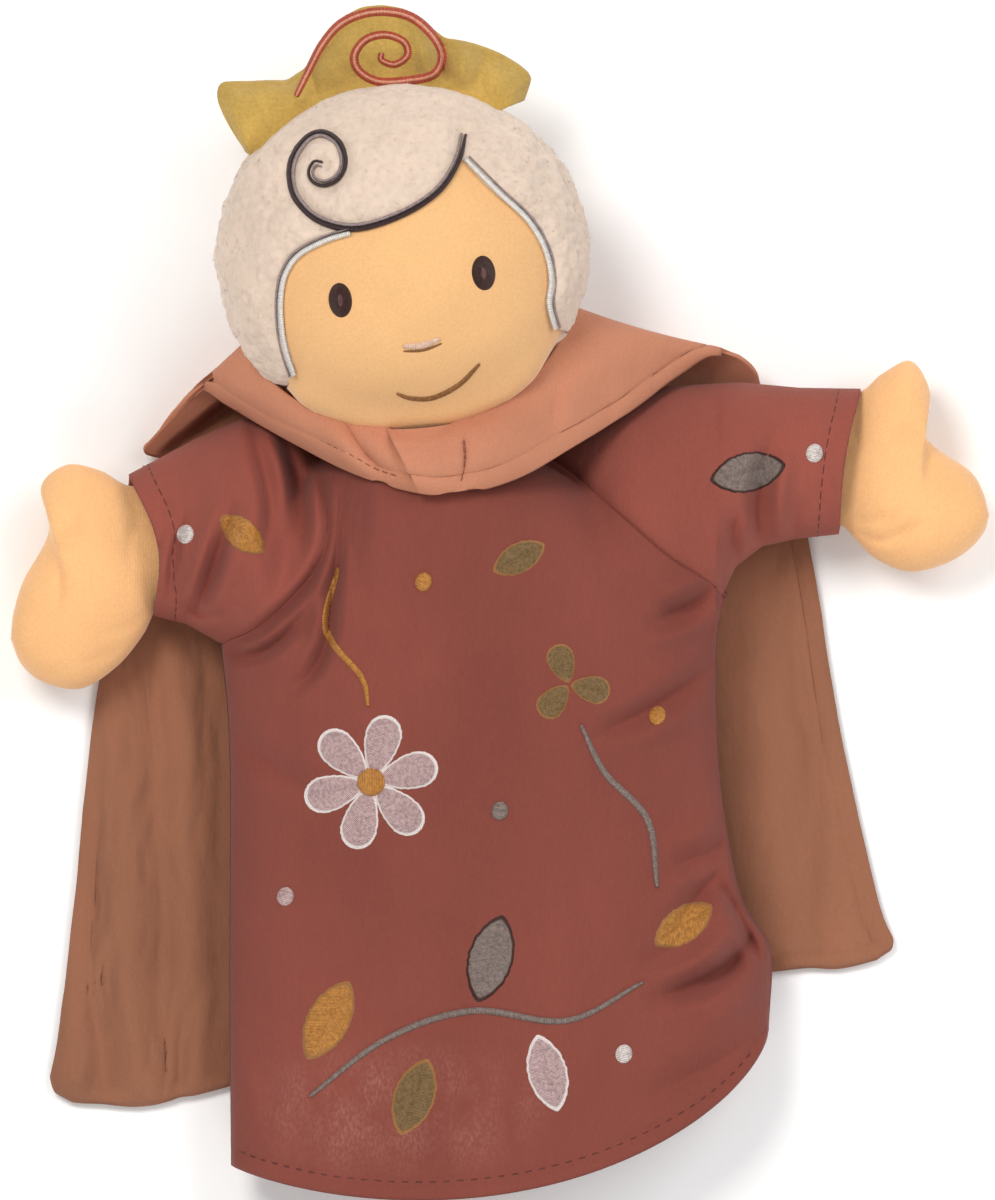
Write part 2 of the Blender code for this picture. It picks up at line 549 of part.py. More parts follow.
def cape(rows, columns):
    """The cape: one flat sheet between its four edges, finer towards its sides."""
    u = (1 - np.cos(np.linspace(0, np.pi, columns))) / 2
    v = np.linspace(0, 1, rows)
    left, right = along(CAPE_LEFT, v)[:, None], along(CAPE_RIGHT, v)[:, None]
    foot, top = along(CAPE_HEM, u)[None], along(CAPE_TOP, u)[None]
    a, b = u[None, :, None], v[:, None, None]
    foot_ends = (1 - a) * foot[:, :1] + a * foot[:, -1:]
    top_ends = (1 - a) * top[:, :1] + a * top[:, -1:]
    corners = (1 - b) * foot_ends + b * top_ends
    flat = (1 - a) * left + a * right + (1 - b) * foot + b * top - corners
    x, y = flat[..., 0], flat[..., 1]
    points = np.dstack([x, y, cape_z(x, y)]).reshape(-1, 3)
    made = mesh_object("cape_panel", "cape_cotton", points, grid_faces(rows, columns))
    return cloth(made, CAPE_CLOTH, outwards=True)


def on_tunic(x, y):
    return tunic_front_z(x, y) + PANEL_LIFT + THREAD_GAP


def on_face(x, y):
    return on_ball(x, y, FACE_RAISE)


def on_hair(x, y):
    return on_ball(x, y, HAIR_RAISE)


def on_ball(x, y, raise_by):
    """The height of the head's front, this far outside the stuffing, and a gap more."""
    off = ((x - HEAD_X) / (CORE_ACROSS + raise_by)) ** 2 + ((y - HEAD_Y) / (CORE_UP + raise_by)) ** 2
    return HEAD_Z + (CORE_DEEP + raise_by) * np.sqrt(np.clip(1 - off, 0.01, 1)) + GAP


def stitched_line(name, slot, path, width, surface, pieces, taper=0.45):
    """A line of embroidery along a path, of this width in the middle and narrower at its ends."""
    t = np.linspace(0, 1, pieces + 1)
    line = along(path, t)
    steps = np.gradient(line, axis=0)
    aside = np.column_stack([-steps[:, 1], steps[:, 0]]) / np.linalg.norm(steps, axis=1)[:, None]
    half = width / 2 * (taper + (1 - taper) * np.sin(np.pi * t) ** 0.5)[:, None]
    flat = np.stack([line + aside * half, line - aside * half], axis=1)
    x, y = flat[..., 0], flat[..., 1]
    points = np.dstack([x, y, surface(x, y)]).reshape(-1, 3)
    made = mesh_object(name, slot, points, grid_faces(len(t), 2))
    return cloth(made, THREAD, outwards=True)


def stitched_shape(name, slot, centre, outline, turn, surface, rings=(1, 0.55)):
    """A filled patch of embroidery: its outline, drawn round the centre and turned by this many degrees."""
    c, s = np.cos(np.radians(turn)), np.sin(np.radians(turn))
    edge = outline @ np.array([(c, s), (-s, c)])
    count, last = len(edge), len(edge) * (len(rings) - 1)
    flat = np.vstack([*[edge * share for share in rings], [(0, 0)]]) + centre
    points = np.column_stack([flat, surface(flat[:, 0], flat[:, 1])])
    faces = grid_faces(len(rings), count, wrap=True)
    faces += [(last + i, last + (i + 1) % count, last + count) for i in range(count)]
    return cloth(mesh_object(name, slot, points, faces), THREAD, outwards=True)


def oval(long, wide, count=12):
    a = np.linspace(0, 2 * np.pi, count, endpoint=False)
    return np.column_stack([long * np.cos(a), wide * np.sin(a)])


def leaf(long, wide, count=10):
    a = np.linspace(0, 2 * np.pi, count, endpoint=False)
    return np.column_stack([long * np.cos(a), wide * np.sin(a) * np.abs(np.sin(a)) ** 0.5])


def blossom(radius, petals, depth, count_each=6):
    """A flower's outline, anticlockwise: its radius rises and falls once for each petal."""
    a = np.linspace(0, 2 * np.pi, petals * count_each, endpoint=False)
    r = radius * (1 - depth * (0.5 - 0.5 * np.cos(petals * a)))
    return np.column_stack([r * np.cos(a), r * np.sin(a)])


def face_embroidery():
    for name, centre in (("eye_left", (-33.4, 63.4)), ("eye_right", (-3.4, 69.1))):
        stitched_shape(name, "dark_thread", centre, oval(EYE_LONG, EYE_WIDE), EYE_TURN, on_face)
    nose = [(-20.2, 53.0), (-16.2, 53.2), (-12.4, 54.6)]
    stitched_line("nose", "pink_thread", nose, LIP_WIDTH, on_face, 5)
    mouth = [(-21.6, 43.7), (-15, 43.0), (-9.4, 45.4), (-4.4, 49.4)]
    stitched_line("mouth", "red_thread", mouth, LIP_WIDTH, on_face, 8)


def piping(name, knots):
    """The white cord stitched along one side of the hairline, on the hair's edge."""
    path = np.array(knots) + (HEAD_X, HEAD_Y)
    stitched_line(name, "white_thread", path, PIPING_WIDTH, on_hair, 10, taper=0.8)


def hair_curl():
    """The curl's line of stitching on the hair."""
    stitched_line("hair_curl", "brown_thread", CURL, CURL_WIDTH, on_hair, 38)


def crown_spiral():
    """The spiral on the front of the crown, drawn in its own angle and height so that it follows the waves."""
    sweep = [(123, 0.30), (116.5, 0.66), (110.5, 0.78), (104.5, 0.80), (98.3, 0.81), (92, 0.80), (86.7, 0.76)]
    sweep += [(82.2, 0.64), (80.2, 0.46), (81.6, 0.28), (87, 0.17), (96.5, 0.15), (102.6, 0.22), (103.2, 0.40)]
    sweep += [(99, 0.54), (93.6, 0.56), (89.8, 0.48), (89.4, 0.36), (93, 0.31), (95.6, 0.38)]
    t = np.linspace(0, 1, 38)
    line = along(sweep, t)
    flat = np.column_stack(crown_shape(line[:, 0], line[:, 1])[:2])
    steps = np.gradient(flat, axis=0)
    aside = np.column_stack([-steps[:, 1], steps[:, 0]]) / np.linalg.norm(steps, axis=1)[:, None]
    rise = crown_shape(line[:, 0], line[:, 1])[2] + CROWN_SOFTNESS * np.sin(np.pi * line[:, 1]) ** 2
    rise = rise + GAP / 2 + CROWN_CLOTH + GAP + SPIRAL_CLEAR
    sides = np.stack([flat + aside * SPIRAL_WIDTH / 2, flat - aside * SPIRAL_WIDTH / 2], axis=1)
    points = np.dstack([sides, np.repeat(rise[:, None], 2, axis=1)]).reshape(-1, 3)
    made = mesh_object("crown_spiral", "red_thread", points, grid_faces(len(t), 2))
    return cloth(made, THREAD, outwards=True)


def tunic_embroidery():
    """Flowers, leaves, stems and dots stitched over the tunic's front."""
    stem = [(-34, 7), (-36.4, -6), (-29, -16), (-27.6, -22)]
    stitched_line("stem_ochre", "ochre_thread", stem, STEM_WIDTH, on_tunic, 9)
    stitched_shape("flower_lilac", "lilac_thread", (-27, -38), blossom(14.6, 6, 0.52), 15, on_tunic)
    heart = oval(HEART_RADIUS, HEART_RADIUS)
    stitched_shape("flower_lilac_heart", "ochre_thread", (-27, -38), heart, 0, above_flower)
    stem = [(33, -60), (31, -46), (22, -36), (17, -26)]
    stitched_line("stem_grey", "grey_thread", stem, STEM_WIDTH, on_tunic, 9)
    stitched_shape("bud_olive", "olive_thread", (14.5, -17.5), blossom(8.6, 3, 0.55, 8), 108, on_tunic)
    stem = [(-40, -104), (-24, -92), (-6, -86), (14, -88), (30, -80)]
    stitched_line("stem_brown", "grey_thread", stem, STEM_WIDTH, on_tunic, 14)
    leaves = [
        ("leaf_ochre", "ochre_thread", (-36, -88), (9.4, 4.6), 62),
        ("leaf_olive", "olive_thread", (-18, -104), (8.6, 4.4), 250),
        ("leaf_grey", "grey_thread", (-2, -75), (9.6, 4.8), 74),
        ("leaf_lilac", "lilac_thread", (10, -99), (8.4, 4.2), 285),
        ("leaf_side", "ochre_thread", (38.5, -68), (7.4, 3.8), 35),
        ("leaf_chest", "olive_thread", (4, 9), (6.2, 3.2), 28),
        ("leaf_sleeve_right", "grey_thread", (52, 27), (8.2, 4.2), 12),
        ("leaf_sleeve_left", "ochre_thread", (-54, 14), (6.0, 3.2), 140),
    ]
    for name, slot, centre, (long, wide), turn in leaves:
        stitched_shape(name, slot, centre, leaf(long, wide), turn, on_tunic)
    dots = [
        ("dot_left_cuff", "white_thread", (-66, 14)),
        ("dot_right_cuff", "white_thread", (66, 31)),
        ("dot_chest", "ochre_thread", (-16, 4)),
        ("dot_waist", "grey_thread", (0, -44)),
        ("dot_side", "ochre_thread", (33, -24)),
        ("dot_hem", "white_thread", (26, -95)),
        ("dot_left", "lilac_thread", (-45, -62)),
    ]
    for name, slot, centre in dots:
        stitched_shape(name, slot, centre, oval(DOT_LONG, DOT_WIDE, 8), 0, on_tunic, rings=(1,))


def above_flower(x, y):
    return on_tunic(x, y) + THREAD + GAP


def centre_on_origin():
    """Puts the origin under the middle of the puppet, at the level that it lies on."""
    bpy.context.view_layer.update()
    graph = bpy.context.evaluated_depsgraph_get()
    low, high = np.full(3, np.inf), np.full(3, -np.inf)
    for made in [o for o in bpy.data.objects if o.type == "MESH" and not o.hide_render]:
        mesh = made.evaluated_get(graph).to_mesh()
        points = np.empty(len(mesh.vertices) * 3, np.float32)
        mesh.vertices.foreach_get("co", points)
        points = points.reshape(-1, 3)
        low, high = np.minimum(low, points.min(axis=0)), np.maximum(high, points.max(axis=0))
        made.evaluated_get(graph).to_mesh_clear()
    PUPPET.location = (-(low[0] + high[0]) / 2, -(low[1] + high[1]) / 2, -low[2])


for old in list(bpy.data.objects):
    bpy.data.objects.remove(old)
PUPPET = bpy.data.objects.new("puppet", None)
bpy.context.scene.collection.objects.link(PUPPET)

head()
neck()
crown_layer("crown_front", 1, 4, 25)
crown_layer("crown_back", -1, 4, 25)
face_embroidery()
piping("hair_piping_left", PIPING_LEFT)
piping("hair_piping_right", PIPING_RIGHT)
hair_curl()
crown_spiral()
tunic_panel("tunic_front", tunic_front_z, 1, 13, 7, 19)
tunic_panel("tunic_back", tunic_back_z, -1, 6, 7, 11)
sleeve("sleeve_left", SEAM_LEFT, LEFT_SHOULDER, LEFT_UNDERARM, -1, 7, 16)
sleeve("sleeve_right", SEAM_RIGHT, RIGHT_SHOULDER, RIGHT_UNDERARM, 1, 9, 16)
hand("hand_left", LEFT_HAND_UPPER, LEFT_HAND_LOWER, LEFT_HAND_TIP, -1, 11, 12)
hand("hand_right", RIGHT_HAND_UPPER, RIGHT_HAND_LOWER, RIGHT_HAND_TIP, 1, 11, 12)
collar(41, 5)
cape(11, 25)
tunic_embroidery()
centre_on_origin()
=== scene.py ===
# Queen hand puppet: cloth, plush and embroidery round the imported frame. Lengths here are in millimetres.
import bpy
import numpy as np
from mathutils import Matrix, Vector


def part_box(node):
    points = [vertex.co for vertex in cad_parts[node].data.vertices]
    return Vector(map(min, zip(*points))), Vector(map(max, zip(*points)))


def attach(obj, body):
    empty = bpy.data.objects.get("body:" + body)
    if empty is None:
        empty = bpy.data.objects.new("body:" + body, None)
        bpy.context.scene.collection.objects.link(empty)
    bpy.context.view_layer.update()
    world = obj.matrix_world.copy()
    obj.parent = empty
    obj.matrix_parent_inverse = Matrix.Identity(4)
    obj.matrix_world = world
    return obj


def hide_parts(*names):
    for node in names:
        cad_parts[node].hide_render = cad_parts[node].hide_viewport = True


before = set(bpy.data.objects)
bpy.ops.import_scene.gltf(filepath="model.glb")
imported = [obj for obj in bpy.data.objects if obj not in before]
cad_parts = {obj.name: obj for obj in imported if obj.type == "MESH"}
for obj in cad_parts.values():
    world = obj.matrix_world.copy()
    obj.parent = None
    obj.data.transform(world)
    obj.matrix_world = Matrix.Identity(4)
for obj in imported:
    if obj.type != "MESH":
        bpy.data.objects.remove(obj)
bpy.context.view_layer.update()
mm = 0.001

# Every shape below is drawn round these centre lines; the tube's box says how far the frame is off them.
# the stuffing's half sizes
head = {"x": -20.6, "y": 72.0, "z": 32.8, "across": 35.2, "up": 33.6, "deep": 29.0}
neckLine = {"x": -17.0, "z": 26.0, "top": 79.0}
tubeBox = np.array(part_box("finger_tube")) / mm
tubeMiddle = tubeBox.mean(axis=0)
offset = np.array([tubeMiddle[0] - neckLine["x"], tubeBox[1, 1] - neckLine["top"],
                   tubeMiddle[2] - neckLine["z"]])


# numbers and lines

def easeStep(a, b, x):
    # 0 up to a, 1 from b on, and a cubic ease between them
    t = np.clip((x - a) / (b - a), 0, 1)
    return t * t * (3 - 2 * t)


def lineThrough(knots, t, closed=False):
    # Catmull-Rom: a smooth line through the knots, read at shares t of its length
    p = np.array(knots, float)
    p = np.vstack([p[-1:], p, p[:2]]) if closed else np.vstack([2 * p[0] - p[1], p, 2 * p[-1] - p[-2]])
    spans = np.linalg.norm(np.diff(p, axis=0), axis=1)[1:-1]
    ends = np.concatenate([[0], np.cumsum(spans)]) / spans.sum()
    t = np.clip(np.asarray(t, float), 0, 1)
    i = np.clip(np.searchsorted(ends, t, side="right") - 1, 0, len(spans) - 1)
    f = ((t - ends[i]) / (ends[i + 1] - ends[i]))[..., None]
    a, b, c, d = p[i], p[i + 1], p[i + 2], p[i + 3]
    return 0.5 * (2 * b + (c - a) * f + (2 * a - 5 * b + 4 * c - d) * f**2 + (3 * b - a - 3 * c + d) * f**3)


def evenLine(knots, count, closed=False):
    # the same line cut into equal steps
    fine = lineThrough(knots, np.linspace(0, 1, 1200), closed)
    steps = np.concatenate([[0], np.cumsum(np.linalg.norm(np.diff(fine, axis=0), axis=1))])
    want = np.linspace(0, steps[-1], count)
    return np.stack([np.interp(want, steps, fine[:, k]) for k in range(fine.shape[1])], axis=1)


def awayFrom(knots, x, y, pieces=40):
    # signed distance to a line (left of it is positive), and the share of its length at the nearest point
    path = evenLine(knots, pieces + 1)
    best, side, share = np.full(x.shape, 1e9), np.zeros(x.shape), np.zeros(x.shape)
    for k in range(pieces):
        (ax, ay), (bx, by) = path[k], path[k + 1]
        dx, dy = bx - ax, by - ay
        t = np.clip(((x - ax) * dx + (y - ay) * dy) / (dx * dx + dy * dy), 0, 1)
        gap = np.hypot(x - ax - t * dx, y - ay - t * dy)
        nearer = gap < best
        best = np.where(nearer, gap, best)
        side = np.where(nearer, np.sign((y - ay) * dx - (x - ax) * dy), side)
        share = np.where(nearer, (k + t) / pieces, share)
    return best * side, share


noiseTable = np.random.default_rng(11).uniform(-1, 1, (4, 8192))


def hashOf(i, j, k, row):
    # a fixed random number from -1 to 1 for each cube of a grid
    return noiseTable[row][(i * 73856093 ^ j * 19349663 ^ k * 83492791) & 8191]


def cloudNoise(x, y, z, cell, row=0):
    # value noise: random numbers at the corners of cubes of this size, eased between them
    q = [np.asarray(v, float) / cell + 100 for v in np.broadcast_arrays(x, y, z)]
    i, j, k = (np.floor(v).astype(np.int64) for v in q)
    u, v, w = (f * f * (3 - 2 * f) for f in (a - np.floor(a) for a in q))
    total = 0
    for a, b, c in np.ndindex(2, 2, 2):
        weight = (u if a else 1 - u) * (v if b else 1 - v) * (w if c else 1 - w)
        total = total + weight * hashOf(i + a, j + b, k + c, row)
    return total


def tuftNoise(x, y, z, cell):
    # domes round scattered points, one to a cube: 1 on top of a tuft, 0 in the furrows between tufts
    q = [np.asarray(v, float) / cell + 100 for v in (x, y, z)]
    base = [np.floor(v).astype(np.int64) for v in q]
    near = np.full(q[0].shape, 9.0)
    for a, b, c in np.ndindex(3, 3, 3):
        cube = [base[0] + a - 1, base[1] + b - 1, base[2] + c - 1]
        spot = [cube[n] + 0.5 + 0.45 * hashOf(*cube, n) for n in range(3)]
        near = np.minimum(near, sum((q[n] - spot[n]) ** 2 for n in range(3)))
    return np.clip(1 - near / 0.75, 0, 1)


# meshes

def gridQuads(rows, columns, wrap=False, flip=False):
    # four-sided faces between neighbouring points of a grid, closed round its columns with wrap
    r = np.arange(rows - 1)[:, None]
    c = np.arange(columns if wrap else columns - 1)[None]
    n = (c + 1) % columns
    quads = np.stack([r * columns + c, r * columns + n, (r + 1) * columns + n, (r + 1) * columns + c],
                     -1).reshape(-1, 4)
    return quads[:, ::-1] if flip else quads


def addPiece(name, points, quads, material, replaces=(), uv=None, caps=()):
    name = name.replace(" ", "-")
    mesh = bpy.data.meshes.new(name)
    flatPoints = (np.asarray(points, float).reshape(-1, 3) + offset) * mm
    mesh.from_pydata(flatPoints.tolist(), [], quads.tolist() + [list(cap) for cap in caps])
    if uv is not None:
        corners = np.empty(len(mesh.loops), np.int32)
        mesh.loops.foreach_get("vertex_index", corners)
        mesh.uv_layers.new(name="threads").data.foreach_set("uv", uv.reshape(-1, 2)[corners].ravel())
    mesh.shade_smooth()
    mesh.materials.append(material)
    piece = bpy.data.objects.new(name, mesh)
    bpy.context.scene.collection.objects.link(piece)
    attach(piece, "root")
    if replaces:
        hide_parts(*([replaces] if isinstance(replaces, str) else replaces))
    return piece


def thicken(piece, thickness, outwards=False, rounded=0):
    solid = piece.modifiers.new("cloth", "SOLIDIFY")
    solid.thickness = thickness * mm
    solid.offset = 1 if outwards else -1
    if rounded:
        edge = piece.modifiers.new("edge", "BEVEL")
        edge.width = rounded * mm
        edge.segments = 2
        edge.limit_method = "ANGLE"
        edge.angle_limit = 1.0
    return piece


def normalsOf(points, flip=False):
    # the unit normals of a grid of points, from its steps along rows and columns
    across = np.gradient(points, axis=1)
    up = np.gradient(points, axis=0)
    n = np.cross(across, up)
    n = n / np.maximum(np.linalg.norm(n, axis=-1, keepdims=True), 1e-9)
    return -n if flip else n


# materials

def startMaterial(name, colour, roughness):
    material = bpy.data.materials.new(name)
    material.use_nodes = True
    nodes, links = material.node_tree.nodes, material.node_tree.links
    shader = nodes["Principled BSDF"]
    shader.inputs["Base Color"].default_value = (*colour, 1)
    shader.inputs["Roughness"].default_value = roughness
    shader.inputs["Specular IOR Level"].default_value = 0.2
    coords = nodes.new("ShaderNodeTexCoord")

    def noise(scale, detail=3, stretch=(1, 1, 1), source="Object"):
        mapping = nodes.new("ShaderNodeMapping")
        mapping.inputs["Scale"].default_value = stretch
        texture = nodes.new("ShaderNodeTexNoise")
        texture.inputs["Scale"].default_value = scale
        texture.inputs["Detail"].default_value = detail
        links.new(coords.outputs[source], mapping.inputs["Vector"])
        links.new(mapping.outputs[0], texture.inputs["Vector"])
        return texture.outputs["Fac"]

    def threads(pitch, axis, source="Object", wander=2.0):
        wave = nodes.new("ShaderNodeTexWave")
        wave.bands_direction = axis
        wave.inputs["Scale"].default_value = 1 / (pitch * (mm if source == "Object" else 1)) / 3.18
        wave.inputs["Distortion"].default_value = wander
        wave.inputs["Detail"].default_value = 1
        wave.inputs["Detail Scale"].default_value = 0.6
        links.new(coords.outputs[source], wave.inputs["Vector"])
        return wave.outputs["Fac"]

    def maths(kind, a, b):
        node = nodes.new("ShaderNodeMath")
        node.operation = kind
        for slot, value in zip(node.inputs, (a, b)):
            if isinstance(value, (int, float)):
                slot.default_value = value
            else:
                links.new(value, slot)
        return node.outputs[0]

    def tint(fac, low, high, start=0.3, end=0.7):
        ramp = nodes.new("ShaderNodeValToRGB")
        ramp.color_ramp.elements[0].color = (*low, 1)
        ramp.color_ramp.elements[0].position = start
        ramp.color_ramp.elements[1].color = (*high, 1)
        ramp.color_ramp.elements[1].position = end
        links.new(fac, ramp.inputs[0])
        return ramp.outputs[0]

    def blend(kind, fac, a, b):
        mix = nodes.new("ShaderNodeMix")
        mix.data_type = "RGBA"
        mix.blend_type = kind
        for key, value in (("Factor", fac), ("A", a), ("B", b)):
            slot = next(s for s in mix.inputs
                        if s.name == key and s.type == ("VALUE" if key == "Factor" else "RGBA"))
            if isinstance(value, tuple):
                slot.default_value = (*value, 1)
            elif isinstance(value, (int, float)):
                slot.default_value = value
            else:
                links.new(value, slot)
        return next(s for s in mix.outputs if s.type == "RGBA")

    def bump(height, distance, strength=1.0, under=None):
        node = nodes.new("ShaderNodeBump")
        node.inputs["Distance"].default_value = distance * mm
        node.inputs["Strength"].default_value = strength
        links.new(height, node.inputs["Height"])
        if under is not None:
            links.new(under, node.inputs["Normal"])
        return node.outputs[0]

    def finish(colourOut=None, normalOut=None):
        if colourOut is not None:
            links.new(colourOut, shader.inputs["Base Color"])
        if normalOut is not None:
            links.new(normalOut, shader.inputs["Normal"])
        return material

    tools = dict(noise=noise, threads=threads, maths=maths, tint=tint, blend=blend, bump=bump, finish=finish,
                 shader=shader, coords=coords, nodes=nodes, links=links)
    return material, tools


def shade(colour, by):
    # a colour times a share, at most 1
    return tuple(min(1.0, c * by) for c in colour)


def wovenCotton(name, look):
    # fine weave in two directions, soft crinkles and an uneven dye
    material, t = startMaterial(name, look["colour"], 0.92)
    t["shader"].inputs["Sheen Weight"].default_value = look["sheen"]
    t["shader"].inputs["Sheen Roughness"].default_value = 0.6
    weave = t["maths"]("MULTIPLY", t["threads"](look["pitch"], "X"), t["threads"](look["pitch"], "Y"))
    slub = t["noise"](1500, 2, (1, 0.2, 1))
    dye = t["noise"](34, 4, (1, 0.5, 1))
    grain = t["noise"](1900, 3)
    colour = t["tint"](dye, shade(look["colour"], 0.90), shade(look["colour"], 1.10))
    colour = t["blend"]("MULTIPLY", look["slub"], colour, t["tint"](slub, (0.72, 0.72, 0.72), (1, 1, 1)))
    colour = t["blend"]("MULTIPLY", look["weave"], colour,
                        t["tint"](weave, (0.6, 0.6, 0.6), (1, 1, 1), 0.0, 0.5))
    colour = t["blend"]("MULTIPLY", 0.4, colour, t["tint"](grain, (0.82, 0.80, 0.80), (1, 1, 1), 0.3, 0.65))
    if "paintedSheen" in look:
        # painted sheen: a paler patch near the hem, an oval in object coordinates, broken up by two sizes of
        # noise
        spot = look["paintedSheen"]
        mapping = t["nodes"].new("ShaderNodeMapping")
        mapping.vector_type = "TEXTURE"
        mapping.inputs["Location"].default_value = (spot["x"] * mm, spot["y"] * mm, spot["z"] * mm)
        mapping.inputs["Scale"].default_value = (spot["wide"] * mm, spot["high"] * mm, 0.05)
        t["links"].new(t["coords"].outputs["Object"], mapping.inputs["Vector"])
        oval = t["nodes"].new("ShaderNodeTexGradient")
        oval.gradient_type = "SPHERICAL"
        t["links"].new(mapping.outputs[0], oval.inputs["Vector"])
        clouds = t["tint"](t["noise"](120, 4, (1, 0.6, 1)), (0, 0, 0), (1, 1, 1), 0.36, 0.66)
        specks = t["tint"](t["noise"](1900, 5, (1, 0.5, 1)), (0.15, 0.15, 0.15), (1, 1, 1), 0.42, 0.66)
        inside = t["tint"](oval.outputs["Fac"], (0, 0, 0), (1, 1, 1), 0.0, 0.6)
        amount = t["maths"]("MULTIPLY", t["maths"]("MULTIPLY", inside, clouds),
                            t["maths"]("MULTIPLY", specks, spot["amount"]))
        colour = t["blend"]("MIX", amount, colour, spot["colour"])
    crinkle = t["noise"](look["crinkle"], 4, look["crinkleStretch"])
    normal = t["bump"](crinkle, look["crinkleDepth"])
    normal = t["bump"](t["noise"](1300, 3, (1, 0.4, 1)), 0.07, 1.0, normal)
    return t["finish"](colour, normal)


def knitJersey(name, colour):
    # brushed jersey: fine rows of stitches under a soft nap, and a little colour drift
    material, t = startMaterial(name, colour, 0.9)
    t["shader"].inputs["Sheen Weight"].default_value = 0.25
    t["shader"].inputs["Sheen Roughness"].default_value = 0.5
    t["shader"].inputs["Subsurface Weight"].default_value = 0.08
    t["shader"].inputs["Subsurface Radius"].default_value = (0.002, 0.001, 0.0006)
    rib = t["threads"](0.55, "X", wander=3.0)
    nap = t["noise"](1700, 4)
    drift = t["noise"](40, 3)
    tone = t["tint"](drift, shade(colour, 0.95), shade(colour, 1.05))
    tone = t["blend"]("MULTIPLY", 0.35, tone, t["tint"](nap, (0.84, 0.80, 0.76), (1, 1, 1), 0.35, 0.6))
    normal = t["bump"](nap, 0.10)
    normal = t["bump"](rib, 0.03, 0.5, normal)
    return t["finish"](tone, normal)


def curlyPlush(name, colour):
    # pile: pale on the tips, with painted shade darkening the furrows of its bump, broken up at the scale of
    # single curls
    material, t = startMaterial(name, colour, 0.95)
    t["shader"].inputs["Sheen Weight"].default_value = 0.35
    t["shader"].inputs["Sheen Roughness"].default_value = 0.45
    curls = t["noise"](620, 4)
    drift = t["noise"](90, 3)
    tone = t["tint"](drift, shade(colour, 0.95), shade(colour, 1.04))
    tone = t["blend"]("MULTIPLY", 0.5, tone, t["tint"](curls, (0.88, 0.85, 0.83), (1, 1, 1), 0.34, 0.6))
    return t["finish"](tone, t["bump"](curls, 0.3))


def feltVelour(name, colour):
    # short dense nap with an uneven dye
    material, t = startMaterial(name, colour, 0.95)
    t["shader"].inputs["Sheen Weight"].default_value = 0.3
    t["shader"].inputs["Sheen Roughness"].default_value = 0.5
    nap = t["noise"](1500, 5)
    drift = t["noise"](70, 4)
    tone = t["tint"](drift, shade(colour, 0.80), shade(colour, 1.16))
    tone = t["blend"]("MULTIPLY", 0.5, tone, t["tint"](nap, (0.74, 0.72, 0.66), (1, 1, 1), 0.35, 0.62))
    return t["finish"](tone, t["bump"](nap, 0.16))


def satinThread(name, colour, edge=None, pitch=0.36, speckle=0.7):
    # satin stitch: threads lie across the UV's first axis, pale on their backs and dark between them
    material, t = startMaterial(name, colour, 0.5)
    t["shader"].inputs["Specular IOR Level"].default_value = 0.3
    t["shader"].inputs["Sheen Weight"].default_value = 0.05
    lines = t["threads"](pitch, "X", "UV", 1.5)
    strand = t["noise"](2.6, 3, (1, 0.25, 1), "UV")
    stitches = t["noise"](1500, 3)
    tone = t["tint"](strand, shade(colour, 0.84), shade(colour, 1.16))
    tone = t["blend"]("MULTIPLY", 0.55, tone, t["tint"](lines, (0.50, 0.46, 0.44), (1, 1, 1), 0.05, 0.6))
    tone = t["blend"]("MULTIPLY", speckle, tone,
                      t["tint"](stitches, (0.58, 0.55, 0.53), (1.0, 1.0, 1.0), 0.36, 0.6))
    if edge:
        # the rim is stitched in another thread: the UV's second axis is 0 in the middle, 1 at the rim
        split = t["nodes"].new("ShaderNodeSeparateXYZ")
        t["links"].new(t["coords"].outputs["UV"], split.inputs[0])
        rim = t["tint"](split.outputs[1], (0, 0, 0), (1, 1, 1), edge["from"], edge["from"] + 0.05)
        tone = t["blend"]("MIX", rim, tone, edge["colour"])
    normal = t["bump"](lines, 0.14, 0.9)
    return t["finish"](tone, t["bump"](stitches, 0.12, 1.0, normal))


def plainCard(name, colour):
    # card with long fibres
    material, t = startMaterial(name, colour, 0.85)
    fibre = t["noise"](800, 4, (1, 0.2, 1))
    return t["finish"](t["tint"](fibre, shade(colour, 0.85), shade(colour, 1.1)), t["bump"](fibre, 0.05))


faceJersey = knitJersey("face jersey", (0.775, 0.452, 0.203))
handJersey = knitJersey("hand jersey", (0.86, 0.475, 0.210))
hairPlush = curlyPlush("hair plush", (0.695, 0.555, 0.450))
crownVelour = feltVelour("crown velour", (0.49, 0.315, 0.078))
tunicLook = {
    "colour": (0.224, 0.056, 0.040), "sheen": 0.06, "pitch": 0.5, "weave": 0.05, "slub": 0.18,
    "crinkle": 210, "crinkleStretch": (1, 0.6, 1), "crinkleDepth": 0.28,
    # the patch below is painted sheen: a paler oval near the hem
    "paintedSheen": {"x": -22, "y": -107, "z": 28, "wide": 38, "high": 16, "amount": 0.42,
             "colour": (0.44, 0.20, 0.16)},
}
tunicCotton = wovenCotton("tunic cotton", tunicLook)
